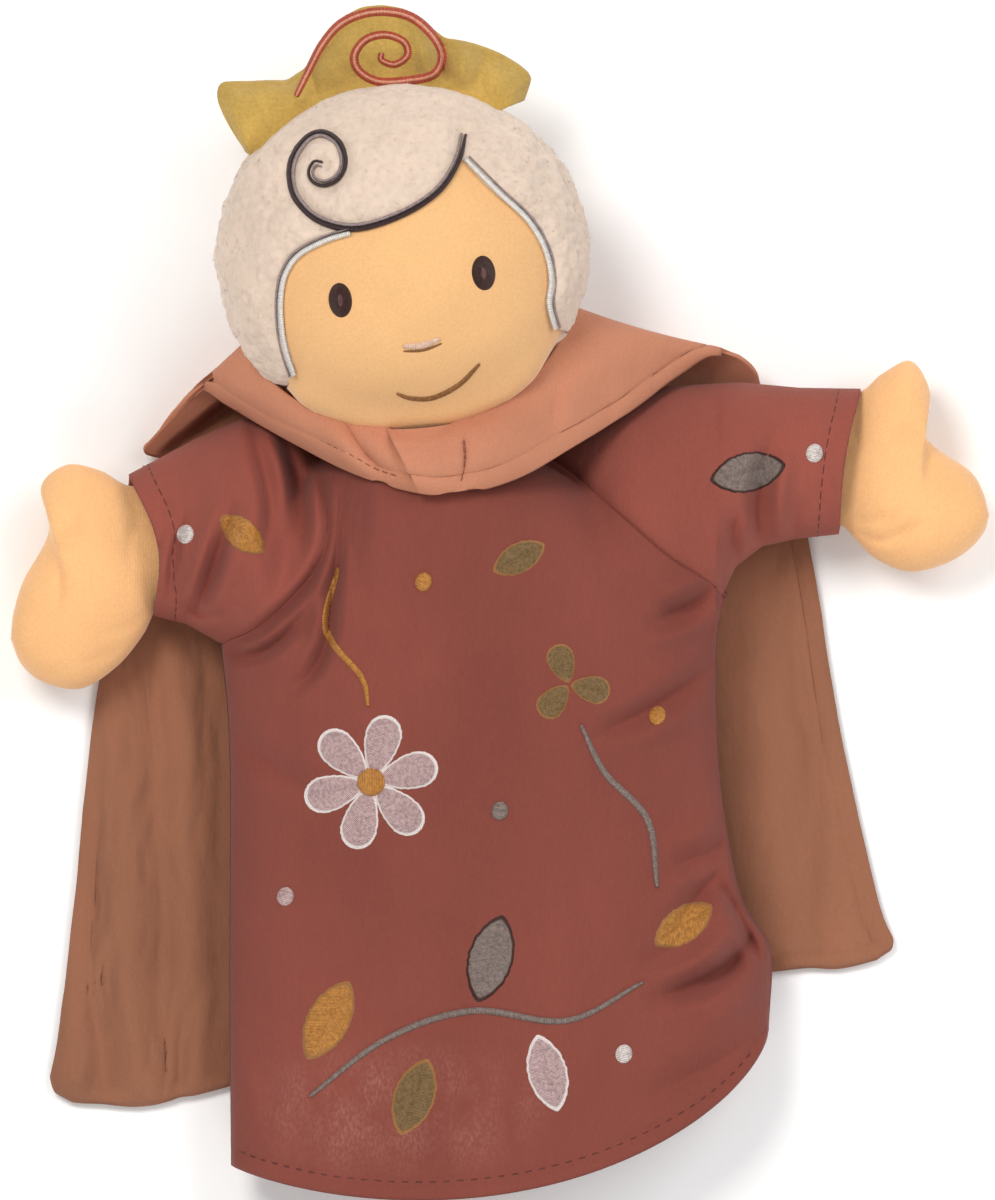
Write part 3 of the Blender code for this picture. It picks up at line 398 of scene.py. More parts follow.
# the same cloth in a lighter tone, because the sleeves stand steeper in the light
sleeveCotton = wovenCotton("sleeve cotton", {**tunicLook, "colour": (0.282, 0.071, 0.050)})
# the cape is the collar's cloth; its darker, browner colour here is painted shade, for it lies low behind
# the tunic and collar
shadedCapeLook = {
    "colour": (0.305, 0.126, 0.070), "sheen": 0.05, "pitch": 0.55, "weave": 0.04, "slub": 0.15,
    "crinkle": 260, "crinkleStretch": (1, 0.4, 1), "crinkleDepth": 0.30,
}
shadedCapeCotton = wovenCotton("cape cotton with painted shade", shadedCapeLook)
collarLook = {**shadedCapeLook, "colour": (0.535, 0.222, 0.130), "slub": 0.12, "crinkle": 160,
              "crinkleDepth": 0.25}
collarCotton = wovenCotton("collar cotton", collarLook)
threadColours = {
    "white": (0.80, 0.72, 0.69), "cream": (0.98, 0.91, 0.84), "lilac": (0.60, 0.42, 0.42),
    "ochre": (0.58, 0.25, 0.05),
    "olive": (0.24, 0.145, 0.055), "grey": (0.27, 0.21, 0.185), "dark": (0.050, 0.017, 0.012),
    "glint": (0.15, 0.07, 0.07),
    "plum": (0.050, 0.024, 0.026), "mauve": (0.42, 0.33, 0.325), "terracotta": (0.50, 0.085, 0.045),
    "rose": (0.85, 0.38, 0.25), "pink": (0.98, 0.62, 0.47), "brown": (0.34, 0.15, 0.045),
    "seam": (0.15, 0.036, 0.028),
    "collarStitchAndShadow": (0.34, 0.12, 0.07), "sand": (0.50, 0.35, 0.17), "slate": (0.13, 0.10, 0.095),
}
smooth = ("cream", "pink", "rose", "terracotta")
satin = {key: satinThread(f"{key} thread", colour, speckle=0.25 if key in smooth else 0.7)
         for key, colour in threadColours.items()}
print("materials ready")


# shared shapes: the tunic's surface, which the sleeves, the stitching and the collar follow

armpitY = -9.0
sideSeamZ = 13.0
frontRise = {"hem": 20.0, "chest": 9.0, "sleeveEnd": 12.5, "sleeveTop": 22.0}
backDrop = {"body": 10.8, "neck": 2.55, "sleeve": 10.4}
hemBow = 20.3
neckLeft, neckRight = (-35.15, 33.0), (1.15, 33.0)
torsoLeft = [(-56.5, -118.5), (-56.8, -80), (-56.8, -32), (-58.6, armpitY)]
torsoRight = [(56.5, -90), (56.8, -73), (50.5, -61), (46.2, -36), (45.6, armpitY)]
narrowing = [[(armpitY, -58.6), (6, -55), (20, -46.5), (33, -35.15)],
             [(armpitY, 45.6), (6, 42), (20, 26), (33, 1.15)]]
leftShoulder = [(-78, 26.6), (-64, 34), (-54, 38.4), (-45, 38), neckLeft]
leftUnderarm = [(-72.6, -3.2), (-66, -4.8), (-58.6, armpitY), (-48, -14), (-34, -16)]
rightShoulder = [(75.8, 44.6), (63, 44.8), (50, 46), (36, 45.2), (18, 39.5), neckRight]
rightUnderarm = [(71.2, 14), (62, 13), (55, 11.4), (49.6, 7.2), (46.6, 1), (45.6, armpitY), (30, -15),
                 (0, -17)]
leftSeam = [(-58.6, armpitY), (-51.4, -6.0), (-45, -0.8), (-38.9, 6.3), (-36.2, 13.6), (-36.5, 21),
            (-38.6, 28.6), (-38.8, 33)]
rightSeam = [(47.4, 0.4), (43.6, 4.0), (35.4, 9.1), (24.5, 18.5), (14, 27.6), (6.5, 32), neckRight]

# soft folds: from, to, half width and height
softFolds = [
    ((-35, 12), (-42, -20), 4.5, -1.6), ((-57, -9), (-42, -3), 4.0, -1.5), ((-48, 4), (-38, -34), 5.0, 1.2),
    ((57, -76), (44, -52), 4.5, 1.6), ((52, -66), (30, -48), 6.0, -1.0), ((38, -8), (24, 6), 4.0, -1.2),
    ((-66, 28), (-58, 0), 3.6, -0.8), ((62, 41), (56, 16), 3.6, -0.8), ((-22, -104), (-28, -60), 12.0, -0.9),
    ((18, -96), (10, -52), 12.0, 1.0),
]
# sharper creases: points along each, half width and height; a negative height is a valley
creases = [
    ([(-58, -9.6), (-51.4, -6.6), (-45, -1.4), (-38.7, 6), (-36, 13.6), (-36.4, 21), (-38.4, 29)],
     1.1, -2.2),
    ([(-53.4, -10.4), (-48.8, -7.6), (-42.8, -2.2), (-37.2, 5.2), (-34.6, 13), (-35, 20)], 1.6, 1.3),
    ([(-32.6, 25), (-33.9, 14), (-35.1, 2), (-36.2, -8), (-39.4, -15), (-44.6, -19.6)], 1.3, -3.6),
    ([(-36.9, 2), (-38.4, -6), (-43.2, -13.6)], 2.2, 1.5),
    ([(-31.0, 10), (-31.8, -4), (-34.6, -15)], 2.2, 1.0),
    ([(-58.2, -10.8), (-51.7, -11.2), (-46.5, -8.6), (-42.6, -4.4)], 1.2, -3.2),
    ([(-55, -14.6), (-48, -14), (-42.6, -9)], 1.9, 1.0),
    ([(-56.0, 19.6), (-59.2, 9.6), (-62.2, 1), (-64.4, -4)], 1.4, -4.2),
    ([(-60.2, 20), (-63.4, 9), (-66.2, -1.4)], 1.6, 1.7),
    ([(-52.4, 17), (-55.8, 7), (-59.4, -4)], 2.1, 1.3),
    ([(-66, 19), (-68.4, 9.6), (-69.4, 1)], 1.0, -2.0),
    ([(-70.4, 15), (-72.4, 8), (-72.6, 2)], 1.0, -1.4),
    ([(-58.6, -3.4), (-62, -3.0), (-66, -1.6)], 1.1, -1.8),
    ([(-52.4, 38), (-49.6, 28), (-48, 19), (-49.6, 10)], 1.5, -3.0),
    ([(-45.6, 34.6), (-43, 28), (-41.3, 19.8), (-42, 11)], 1.3, -3.2),
    ([(-48.8, 36), (-46, 27), (-44.8, 14)], 1.6, 1.5),
    ([(-40, 31), (-38.8, 22), (-38.8, 13)], 1.4, 1.2),
    ([(-29.4, 27), (-31.2, 13), (-29.6, 1)], 2.2, -1.6),
    ([(-26.4, 27), (-24.4, 12)], 2.4, 0.9),
    ([(57, 33), (54.8, 25), (54.4, 17), (54.7, 12)], 1.9, -4.6),
    ([(49.4, 18), (48.7, 13), (49.2, 8)], 1.1, -2.6),
    ([(52, 19), (51.7, 11)], 1.4, 1.1),
    ([(60.4, 29), (58.6, 20), (58.2, 13)], 1.9, 2.2),
    ([(64.4, 22), (62, 16), (61.6, 12.6)], 1.5, -1.3),
    ([(45.4, 3.2), (40.4, -0.6), (33.6, -3.6)], 1.8, -4.0),
    ([(46.0, -4.4), (40, -6.6), (31, -8.2)], 2.2, 2.2),
    ([(46.0, -12), (39, -17.8), (31, -23), (20, -28.6)], 1.9, -3.2),
    ([(45.4, -21), (38, -25.4), (29, -30)], 2.2, 1.2),
    ([(-56.4, -27), (-48.8, -34), (-39, -40)], 2.2, -1.8),
    ([(-57, -37), (-50, -42), (-43, -45)], 2.4, 0.7),
    ([(54.6, -68.8), (49.8, -74.6), (46.3, -77.8), (40.5, -80.7), (33, -83.4)], 2.0, -6.0),
    ([(45.8, -58.8), (49.4, -64.2), (51.8, -68.6), (53.4, -72.4), (55.6, -77.4)], 1.3, -4.4),
    ([(47.0, -64), (46.0, -70.6), (41, -75)], 2.8, 2.6),
    ([(56, -80.4), (50, -84), (41, -88.4)], 3.0, 2.6),
    ([(42, -66), (36, -73), (29, -77)], 4.0, -2.4),
    ([(50.0, -46), (45, -52), (36, -56)], 2.2, -3.8),
    ([(48.0, -54.6), (43, -60), (37.4, -68)], 2.2, -3.6),
    ([(54.8, -91), (44, -98), (30, -104.6)], 3.0, -2.4),
    ([(-53, -92), (-49, -101), (-47.6, -112)], 2.6, -0.9),
    ([(2, -58), (6, -74), (4, -92)], 4.0, -0.7),
]


def arch(x, low, high, power=2.0):
    # a superellipse from 0 at both ends to 1 in the middle
    s = np.abs(x - (low + high) / 2) / np.maximum((high - low) / 2, 1e-6)
    return np.clip(1 - s**power, 0, 1) ** (1 / power)


def valueAt(knots, x):
    # straight lines between the knots
    k = np.array(sorted(knots), float)
    return np.interp(x, k[:, 0], k[:, 1])


def chestEdges(y):
    # x of the torso's left and right edges at this y: the side seams below the arms, the narrowing above
    below = [valueAt([(q[1], q[0]) for q in side], y) for side in (torsoLeft, torsoRight)]
    above = [valueAt(side, y) for side in narrowing]
    return [np.where(y < armpitY, b, a) for b, a in zip(below, above)]


def garmentSwell(x, y, chest, sleeveEnd, sleeveTop, power):
    # the torso's arch and both sleeves' arches, joined by a seventh-power blend
    low, high = chestEdges(y)
    total = (chest * arch(x, low, high, power)) ** 7
    for shoulder, underarm in ((leftShoulder, leftUnderarm), (rightShoulder, rightUnderarm)):
        cuff, neck = shoulder[0][0], shoulder[-1][0]
        share = (x - cuff) / (neck - cuff)
        tall = (
            (sleeveEnd + (sleeveTop - sleeveEnd) * easeStep(0.1, 0.62, share))
            * (1 - easeStep(0.62, 1, share))
        )
        total = total + (tall * arch(y, valueAt(underarm, x), valueAt(shoulder, x), power)) ** 7
    return total ** (1 / 7)


def softFoldHeight(x, y):
    # a bell across each fold's line, eased off past its two ends
    total = np.zeros(np.broadcast(x, y).shape)
    for (ax, ay), (bx, by), half, height in softFolds:
        length = np.hypot(bx - ax, by - ay)
        t = ((x - ax) * (bx - ax) + (y - ay) * (by - ay)) / length**2
        off = ((x - ax) * (by - ay) - (y - ay) * (bx - ax)) / length
        total = total + (
            height * np.exp(-((off / half) ** 2)) * easeStep(-0.3, 0.25, t) * easeStep(1.3, 0.75, t)
        )
    return total


def creaseHeight(x, y):
    # a valley is sharp with a low ridge on each side, a ridge is round; both fade out at their ends
    x, y = np.broadcast_arrays(x, y)
    total = np.zeros(x.shape)
    for line, half, height in creases:
        knots = np.array(line, float)
        near = (x > knots[:, 0].min() - 9) & (x < knots[:, 0].max() + 9)
        near &= (y > knots[:, 1].min() - 9) & (y < knots[:, 1].max() + 9)
        if not near.any():
            continue
        gap, share = awayFrom(line, x[near], y[near], 16)
        g = np.abs(gap) / half
        profile = np.exp(-(g**2)) if height > 0 else np.exp(-(g**1.25)) - 0.28 * np.exp(-((g - 2.1) ** 2))
        total[near] += height * profile * np.sin(np.pi * np.clip(share, 0.03, 0.97)) ** 0.6
    # crinkles: noise drawn out along y
    wrinkle = cloudNoise(x, y * 0.55, 0 * x, 9.0) * 0.45 + cloudNoise(x, y * 0.6, 0 * x + 30, 4.2, 1) * 0.20
    return total + wrinkle + cloudNoise(x, y * 0.7, 0 * x + 60, 2.1, 2) * 0.07


def tunicFrontZ(x, y, detail=True):
    # the side seams' height, plus the swell, plus the folds where the cloth stands clear of its edges
    chest = frontRise["hem"] + frontRise["chest"] * easeStep(-112, 10, y)
    swell = garmentSwell(x, y, chest, frontRise["sleeveEnd"], frontRise["sleeveTop"], 2.0)
    z = sideSeamZ + swell + softFoldHeight(x, y) * easeStep(2, 9, swell)
    return z + creaseHeight(x, y) * easeStep(1.5, 8, swell) if detail else z


def tunicBackZ(x, y):
    # the side seams' height, less a flatter swell that runs out towards the neck
    drop = backDrop["body"] + (backDrop["neck"] - backDrop["body"]) * easeStep(8, 33, y)
    return sideSeamZ - garmentSwell(x, y, drop, backDrop["sleeve"], backDrop["sleeve"], 2.6)


def hemDrop(s):
    # how far the hem hangs below its chord: a lopsided bow from side (s = -1) to side (s = 1)
    return hemBow * (1 + s) ** 0.9 * (1 - s) ** 0.6


# tunic: two torso panels between the side seams and the raglan seams, and two sleeve tubes

tunic = {"cloth": 0.9, "rows": (162, 74), "columns": 188, "lift": 0.75, "seamSink": 0.4, "hemRoll": 0.5,
         "tuck": 1.1,
         "cuffBulge": 3.4}


def tunicPanel(name, height, side, rowsBelow, rowsAbove, columns):
    # rows run from the bowed hem to the neckline, each straight from the left edge to the right edge
    across = (1 - np.cos(np.linspace(0, np.pi, columns))) / 2 * 0.45 + np.linspace(0, 1, columns) * 0.55
    up, over = np.linspace(0, 1, rowsBelow), np.linspace(0, 1, rowsAbove)[1:]
    left = np.vstack([lineThrough(torsoLeft, up), lineThrough(leftSeam, over)])
    right = np.vstack([lineThrough(torsoRight + [rightSeam[0]], up), lineThrough(rightSeam, over)])
    share = np.linspace(0, 1, len(left))[:, None]
    x = left[:, :1] + (right[:, :1] - left[:, :1]) * across
    y = left[:, 1:] + (right[:, 1:] - left[:, 1:]) * across - hemDrop(across * 2 - 1) * (1 - share) ** 2
    z = height(x, y) + side * tunic["lift"]
    # below the arms the front and the back meet along one line, the side seam
    fromSide = np.minimum(np.arange(columns), np.arange(columns)[::-1])
    meet = np.where(np.arange(len(left))[:, None] < rowsBelow, easeStep(0, 2, fromSide), 1)
    z = sideSeamZ + (z - sideSeamZ) * meet
    if side > 0:
        # the raglan seams sink a little, and the hem's folded edge is slightly thicker
        for line in (leftSeam, rightSeam):
            gap, _ = awayFrom(line, x, y)
            z = z - tunic["seamSink"] * np.exp(-np.abs(gap) / 0.9)
        hemGap = y - y[:1]
        z = z + meet * tunic["hemRoll"] * (np.exp(-((hemGap - 1.2) / 1.4) ** 2)
                                           - 0.8 * np.exp(-((hemGap - 4.0) / 0.8) ** 2))
    points = np.dstack([x, y, z])
    piece = addPiece(name, points, gridQuads(*x.shape, flip=side < 0), tunicCotton, name.replace(" ", "_"))
    thicken(piece, tunic["cloth"])
    return piece, points


def sleeveTube(name, seam, shoulder, underarm, out, rows, columns):
    # rows run from the raglan seam to the cuff; columns go round, the top half on the front surface
    turn = np.linspace(0, 2 * np.pi, columns, endpoint=False)
    up = (1 + np.cos(turn)) / 2
    q = np.linspace(0, 1, rows)[:, None]
    seamPoints = lineThrough(seam, up) - (out * 0.8, 0)
    top, foot = np.array(shoulder[0]), np.array(underarm[0])
    cuffPoints = foot + (top - foot) * up[:, None]
    cuffPoints[:, 0] += np.sin(turn) * tunic["cuffBulge"] * up * (1 - up) * 4 * (1 if out < 0 else -0.3)
    x = seamPoints[:, 0] * (1 - q) + cuffPoints[:, 0] * q
    y = seamPoints[:, 1] * (1 - q) + cuffPoints[:, 1] * q
    middle = columns // 2
    missTop = valueAt(shoulder, x[:, :1]) - y[:, :1]
    missFoot = valueAt(underarm, x[:, middle : middle + 1]) - y[:, middle : middle + 1]
    y = y + easeStep(0, 0.1, q) * (missTop * up**2 + missFoot * (1 - up) ** 2)
    y = np.clip(y, valueAt(underarm, x), valueAt(shoulder, x))
    z = np.where(np.sin(turn) >= 0, tunicFrontZ(x, y), tunicBackZ(x, y)) + tunic["lift"] * np.sin(turn)
    # the edge that is sewn in lies under the torso's edge
    gap, _ = awayFrom(seam, x, y)
    sewn = np.exp(-((np.hypot(x - x[:1], y - y[:1]) / 1.9) ** 2))
    z = z - np.sin(turn) * (tunic["tuck"] * sewn + tunic["seamSink"] * np.exp(-np.abs(gap) / 0.9))
    length = np.hypot(x[-1] - x[0], y[-1] - y[0])
    cuffGap = (1 - q) * length
    swelling = tunic["hemRoll"] * (np.exp(-((cuffGap - 1.2) / 1.4) ** 2)
                                   - 0.8 * np.exp(-((cuffGap - 4.6) / 0.8) ** 2))
    z = z + swelling * np.sin(turn)
    points = np.dstack([x, y, z])
    piece = addPiece(name, points, gridQuads(rows, columns, wrap=True, flip=out < 0), sleeveCotton,
                     name.replace(" ", "_"))
    thicken(piece, tunic["cloth"])
    return piece, points


tunicFront, frontPoints = tunicPanel("tunic front", tunicFrontZ, 1, *tunic["rows"], tunic["columns"])
tunicBack, backPoints = tunicPanel("tunic back", tunicBackZ, -1, 60, 40, 90)
sleeveLeft, leftPoints = sleeveTube("sleeve left", leftSeam, leftShoulder, leftUnderarm, -1, 60, 130)
sleeveRight, rightPoints = sleeveTube("sleeve right", rightSeam, rightShoulder, rightUnderarm, 1, 78, 130)
print("tunic ready")


# hands: mittens with rings from the wrist to the tip and a soft crease under the thumb

mitten = {"rise": 11.2, "cloth": 1.2}
hands = {
    "hand left": {
        "upper": [(-72, 24), (-78.5, 24.4), (-84, 27.4), (-91, 28.6), (-96.4, 24), (-94.8, 14.5),
                  (-100, 4.5), (-102.2, -2.5)],
        "lower": [(-66.6, 0.8), (-71.6, -0.9), (-75, -7.2), (-80.5, -13.8), (-88, -18.4), (-96, -17),
                  (-100.6, -13.2)],
        "tip": (-102.8, -8), "out": -1,
        "dents": [([(-95.4, 14.6), (-91, 15.4), (-86.4, 18.6)], 2.6, 2.0),
                  ([(-95, 13), (-91.6, 11.6), (-87, 11)], 1.0, 1.0),
                  ([(-92.6, 10.6), (-92.4, 4.3), (-93, -3.3)], 1.2, 0.8),
                  ([(-74, 20), (-78, 12), (-77, 4)], 1.5, 0.6),
                  ([(-72, -1), (-79, -6), (-86, -7)], 1.3, 0.6),
                  ([(-76, -7), (-83, -12), (-90, -13)], 1.2, 0.6)],
    },
    "hand right": {
        "upper": [(69.4, 43.2), (75.8, 44.0), (80.4, 47.8), (86.5, 50.4), (90.4, 43.6), (89.4, 34.5),
                  (98.5, 27.5), (101.4, 23)],
        "lower": [(66, 16.6), (71.8, 15.8), (78.5, 9.2), (86, 6.2), (93.5, 7.8), (98.8, 11), (101.8, 14.6)],
        "tip": (102.8, 18), "out": 1,
        "dents": [([(89.8, 35.6), (85.4, 35.2), (81, 33.6)], 2.2, 2.0),
                  ([(71, 16.4), (79.3, 12.6), (85.4, 14.5), (91.6, 18)], 1.2, 2.2),
                  ([(71.4, 17.4), (78.7, 16.6), (84.6, 19.6)], 1.1, 1.5), ([(90, 32), (90.4, 25)], 1.0, 0.8),
                  ([(74, 38), (76, 30)], 1.6, 0.4)],
    },
}


def handMitten(name, upper, lower, tip, out, dents, rows=88, columns=96):
    # rings between the upper and the lower outline; their height swells, then falls towards the tip
    turn = np.linspace(0, 2 * np.pi, columns, endpoint=False)
    t = np.linspace(0, 1, rows)[:-1] ** 0.9
    a, b = lineThrough([*upper, tip], t), lineThrough([*lower, tip], t)
    x = (a + b)[:, :1] / 2 + (a - b)[:, :1] / 2 * np.cos(turn)
    y = (a + b)[:, 1:] / 2 + (a - b)[:, 1:] / 2 * np.cos(turn)
    full = ((0.72 + 0.28 * easeStep(0, 0.35, t)) * np.sin(np.pi * (0.12 + 0.86 * t)) ** 0.45)[:, None]
    rise = full * mitten["rise"]
    round3 = np.sin(turn) * 12 + 0 * x
    rise = (
        rise + cloudNoise(x, y, round3, 13) * 0.5 + cloudNoise(x, y, round3, 6, 1) * 0.22
        + cloudNoise(x, y, round3, 2.6, 2) * 0.10
    )
    for line, half, depth in dents:
        gap, share = awayFrom(line, x, y, 20)
        rise = rise - (
            depth * np.exp(-((np.abs(gap) / half) ** 1.5))
            * easeStep(1.02, 0.6, share) * easeStep(-0.05, 0.3, share)
        )
    # puckers at the wrist
    pucker = cloudNoise(x * 0.6, y * 1.5, round3, 2.4, 3) * 0.45 * np.exp(-t[:, None] * 9)
    z = sideSeamZ + (rise + pucker) * np.sin(turn)
    points = np.vstack([np.dstack([x, y, z]).reshape(-1, 3), (*tip, sideSeamZ)])
    quads = gridQuads(len(t), columns, wrap=True, flip=out < 0)
    last, end = (len(t) - 1) * columns, len(points) - 1
    ring = np.arange(columns)
    caps = np.column_stack([last + ring, last + (ring + 1) % columns, np.full(columns, end)])
    caps = caps[:, ::-1] if out < 0 else caps
    piece = addPiece(name, points, quads, handJersey, name.replace(" ", "_"), caps=caps.tolist())
    thicken(piece, mitten["cloth"])
    return piece


for handName, look in hands.items():
    handMitten(handName, **look)
print("hands ready")


# head: directions from its centre on a unit ball, raised by so many millimetres outside the stuffing

hairlineKnots = [
    [(-22.3, -26), (-24, -20.3), (-25, -15), (-25.2, -8.8), (-24.2, -3.8), (-21.5, 0.1), (-16, 3.2),
     (-11, 4.8)],
    [(-11, 4.8), (-3.2, 6.3), (4.9, 10.3), (10.2, 16.1), (13.2, 20.9)],
    [(13.2, 20.9), (19.9, 13.6), (26.2, 7.4), (29.9, 1.4), (31.2, -4.6), (31.0, -9.8), (32.3, -15)],
]
hairBall = (39.0, 37.4, 32.8)  # the head's half sizes over the plush
hairOuter = np.array(hairBall[:2])
hairline = np.vstack([evenLine(k, 40)[:-1] for k in hairlineKnots[:2]] + [evenLine(hairlineKnots[2], 50)])
faceFocus = np.array([3.0, -10.0]) / hairOuter


def ballPoint(direction, raiseBy):
    # the direction times the stuffing's half sizes, each grown by this many millimetres
    size = np.stack([head["across"] + raiseBy, head["up"] + raiseBy, head["deep"] + raiseBy], axis=-1)
    return direction * size + (head["x"], head["y"], head["z"])


def ballZ(x, y, raiseBy):
    # the front height of that grown ball over a point
    off = (
        ((x - head["x"]) / (head["across"] + raiseBy)) ** 2
        + ((y - head["y"]) / (head["up"] + raiseBy)) ** 2
    )
    return head["z"] + (head["deep"] + raiseBy) * np.sqrt(np.clip(1 - off, 0.0, 1))


def rimAlong(flat):
    # where the ray from the face's focus through each point meets the unit circle
    ray = flat - faceFocus
    ray = ray / np.linalg.norm(ray, axis=-1, keepdims=True)
    b = (ray * faceFocus).sum(-1)
    reach = -b + np.sqrt(b * b - (faceFocus**2).sum() + 1)
    return faceFocus + ray * reach[..., None]


def slerp(a, b, t):
    # along the great circle from one direction to another
    angle = np.arccos(np.clip((a * b).sum(-1), -1, 1))[..., None]
    s = np.maximum(np.sin(angle), 1e-6)
    return np.where(angle < 1e-4, a, (np.sin((1 - t) * angle) * a + np.sin(t * angle) * b) / s)


def headBoundary(hairCount, chinCount):
    # the hair's inner edge, clockwise: along the hairline, then round the chin on the equator
    line = hairline / hairOuter
    steps = np.concatenate([[0], np.cumsum(np.linalg.norm(np.diff(hairline, axis=0), axis=1))])
    want = np.linspace(0, steps[-1], hairCount)
    inner = np.stack([np.interp(want, steps, line[:, k]) for k in range(2)], axis=1)
    outer = rimAlong(inner)
    start, end = np.arctan2(*outer[-1][::-1]), np.arctan2(*outer[0][::-1])
    turn = np.linspace(start, end - (2 * np.pi if end > start else 0), chinCount + 2)[1:-1]
    chin = np.column_stack([np.cos(turn), np.sin(turn)])
    return np.vstack([inner, chin]), np.vstack([outer, chin])


def lift3(flat):
    # a point of the unit disc lifted to the front of the unit ball
    return np.concatenate([flat, np.sqrt(np.clip(1 - (flat**2).sum(-1, keepdims=True), 0, 1))], axis=-1)


def faceGap(direction):
    # millimetres outside the face's outline as seen from the front, negative inside it
    x, y = direction[..., 0] * hairOuter[0], direction[..., 1] * hairOuter[1]
    shape = x.shape
    x, y = x.ravel(), y.ravel()
    tail = np.array([hairline[-1] + (9, -9), (60, -60), (-60, -60), hairline[0] + (-9, -9)])
    ring = np.vstack([hairline, tail])
    gap = np.full(x.shape, 1e9)
    inside = np.zeros(x.shape, bool)
    for k in range(len(ring)):
        (ax, ay), (bx, by) = ring[k], ring[(k + 1) % len(ring)]
        dx, dy = bx - ax, by - ay
        t = np.clip(((x - ax) * dx + (y - ay) * dy) / (dx * dx + dy * dy), 0, 1)
        gap = np.minimum(gap, np.hypot(x - ax - t * dx, y - ay - t * dy))
        crosses = ((ay > y) != (by > y)) & (x < dx * (y - ay) / (dy if dy else 1e-9) + ax)
        inside ^= crosses
    gap = np.where(inside, -gap, gap)
    return gap.reshape(shape)


# hair: short curly plush over the whole back and round the face, thinner at its seams and under the curl

plush = {
    "height": 3.7, "seamHeight": 1.7, "lump": 0.7, "tuft": 0.62, "fine": 0.20, "groove": 1.5,
    "grooveHalf": 2.1,
    "crownSeat": 2.9, "chin": 1.9,
}
curlKnots = [
    (-7.4, 97.9), (-8.8, 92.2), (-13, 85.8), (-20.6, 80.9), (-30, 78.1), (-37.6, 79.6), (-42.3, 83.7),
    (-43.9, 88.4),
    (-43.3, 93.1), (-40.4, 97.1), (-37.1, 98.1), (-33.8, 96), (-32.6, 92.2), (-33.8, 88.8), (-36.6, 87.3),
    (-39, 88),
    (-39.8, 89.9), (-38.8, 91.8), (-37.2, 91.6),
]
pipingLeft = [(-31.5, 77.4), (-36.8, 75.8), (-42.5, 72.7), (-45.4, 68.5), (-46.4, 63.2), (-46.2, 56.9),
              (-45.2, 51.7), (-43.6, 47)]
pipingRight = [(-6.8, 92.8), (0, 86), (6.3, 80), (10, 73.7), (11.3, 67.4), (10.9, 62.2), (12.2, 57)]


def plushHeight(direction, texture=True):
    # full height on the open parts, less at the hairline, the stitched lines, the crown's seat and the chin
    gap = faceGap(direction)
    behind = np.maximum(-direction[..., 2] * 30, 0)
    edge = np.where(direction[..., 2] < 0, np.hypot(np.maximum(gap, 0), behind), np.maximum(gap, 0))
    body = plush["seamHeight"] + (plush["height"] - plush["seamHeight"]) * (1 - np.exp(-edge / 1.6))
    x, y = direction[..., 0] * hairOuter[0], direction[..., 1] * hairOuter[1]
    press = 0
    for knots, half in ((curlKnots, plush["grooveHalf"]), (pipingLeft, 1.2), (pipingRight, 1.2)):
        near, _ = awayFrom(knots, x + head["x"], y + head["y"], 80 if len(knots) > 10 else 16)
        press = np.maximum(press, np.exp(-((near / half) ** 2)) * (direction[..., 2] > 0))
    body = body - plush["groove"] * press * np.clip((body - 1.9) / 1.9, 0, 1)
    degrees = np.degrees(np.arctan2(y, x))
    seat = (
        easeStep(52, 60, degrees) * easeStep(148, 142, degrees)
        * easeStep(0.3, 0.14, np.abs(direction[..., 2]))
    )
    body = body + (plush["crownSeat"] - body) * seat * (body > plush["crownSeat"])
    chin = easeStep(-0.62, -0.86, direction[..., 1]) * easeStep(-0.95, -0.6, direction[..., 2])
    body = body + (plush["chin"] - body) * chin * (body > plush["chin"])
    if not texture:
        return body
    p = [direction[..., k] * s for k, s in enumerate(hairBall)]
    rough = plush["lump"] * cloudNoise(*p, 5.5) + plush["tuft"] * (tuftNoise(*p, 2.7) - 0.5)
    rough = rough + plush["fine"] * (cloudNoise(*p, 1.5, 2) + 0.6 * cloudNoise(*p, 0.8, 3))
    calm = easeStep(0.3, 3.0, edge) * (1 - 0.75 * press) * (1 - 0.8 * seat) * (1 - 0.7 * chin)
    return body + rough * (0.2 + 0.8 * calm)


def makeHair(columnsHair=360, columnsChin=110, rows=150):
    # each column walks a great circle from the hairline out to the equator and on to the back of the head
    inner, outer = headBoundary(columnsHair, columnsChin)
    start, rim = lift3(inner), np.column_stack([outer, np.zeros(len(outer))])
    first = np.arccos(np.clip((start * rim).sum(-1), -1, 1))
    total = first + np.pi / 2
    walk = np.linspace(0, 1, rows)[:, None] * total
    t1 = np.clip(walk / np.maximum(first, 1e-6), 0, 1)[..., None]
    t2 = np.clip((walk - first) / (np.pi / 2), 0, 0.999)[..., None]
    back = np.array([0.0, 0.0, -1.0])
    front = slerp(start[None], rim[None], t1)
    rear = slerp(rim[None], np.broadcast_to(back, rim.shape)[None], t2)
    direction = np.where((walk <= first)[..., None], np.where(t1 < 1, front, rim[None]), rear)
    direction = direction / np.linalg.norm(direction, axis=-1, keepdims=True)
    height = plushHeight(direction)
    edgeFall = np.exp(-np.linspace(0, rows - 1, rows) / 0.7)[:, None]
    height = height * (1 - edgeFall) + 0.9 * edgeFall
    points = ballPoint(direction, height)
    last = (rows - 1) * points.shape[1]
    cap = list(range(last, last + points.shape[1]))
    piece = addPiece("hair", points, gridQuads(*points.shape[:2], wrap=True), hairPlush,
                     ("hair_front", "hair_back"), caps=[cap])
    return piece


makeHair()


# the plush's pile: small ribbons that stand out of it and curl over

pile = {"count": 13000, "length": 1.05, "width": 0.26, "bend": 2.3, "rows": 4, "root": 0.5}


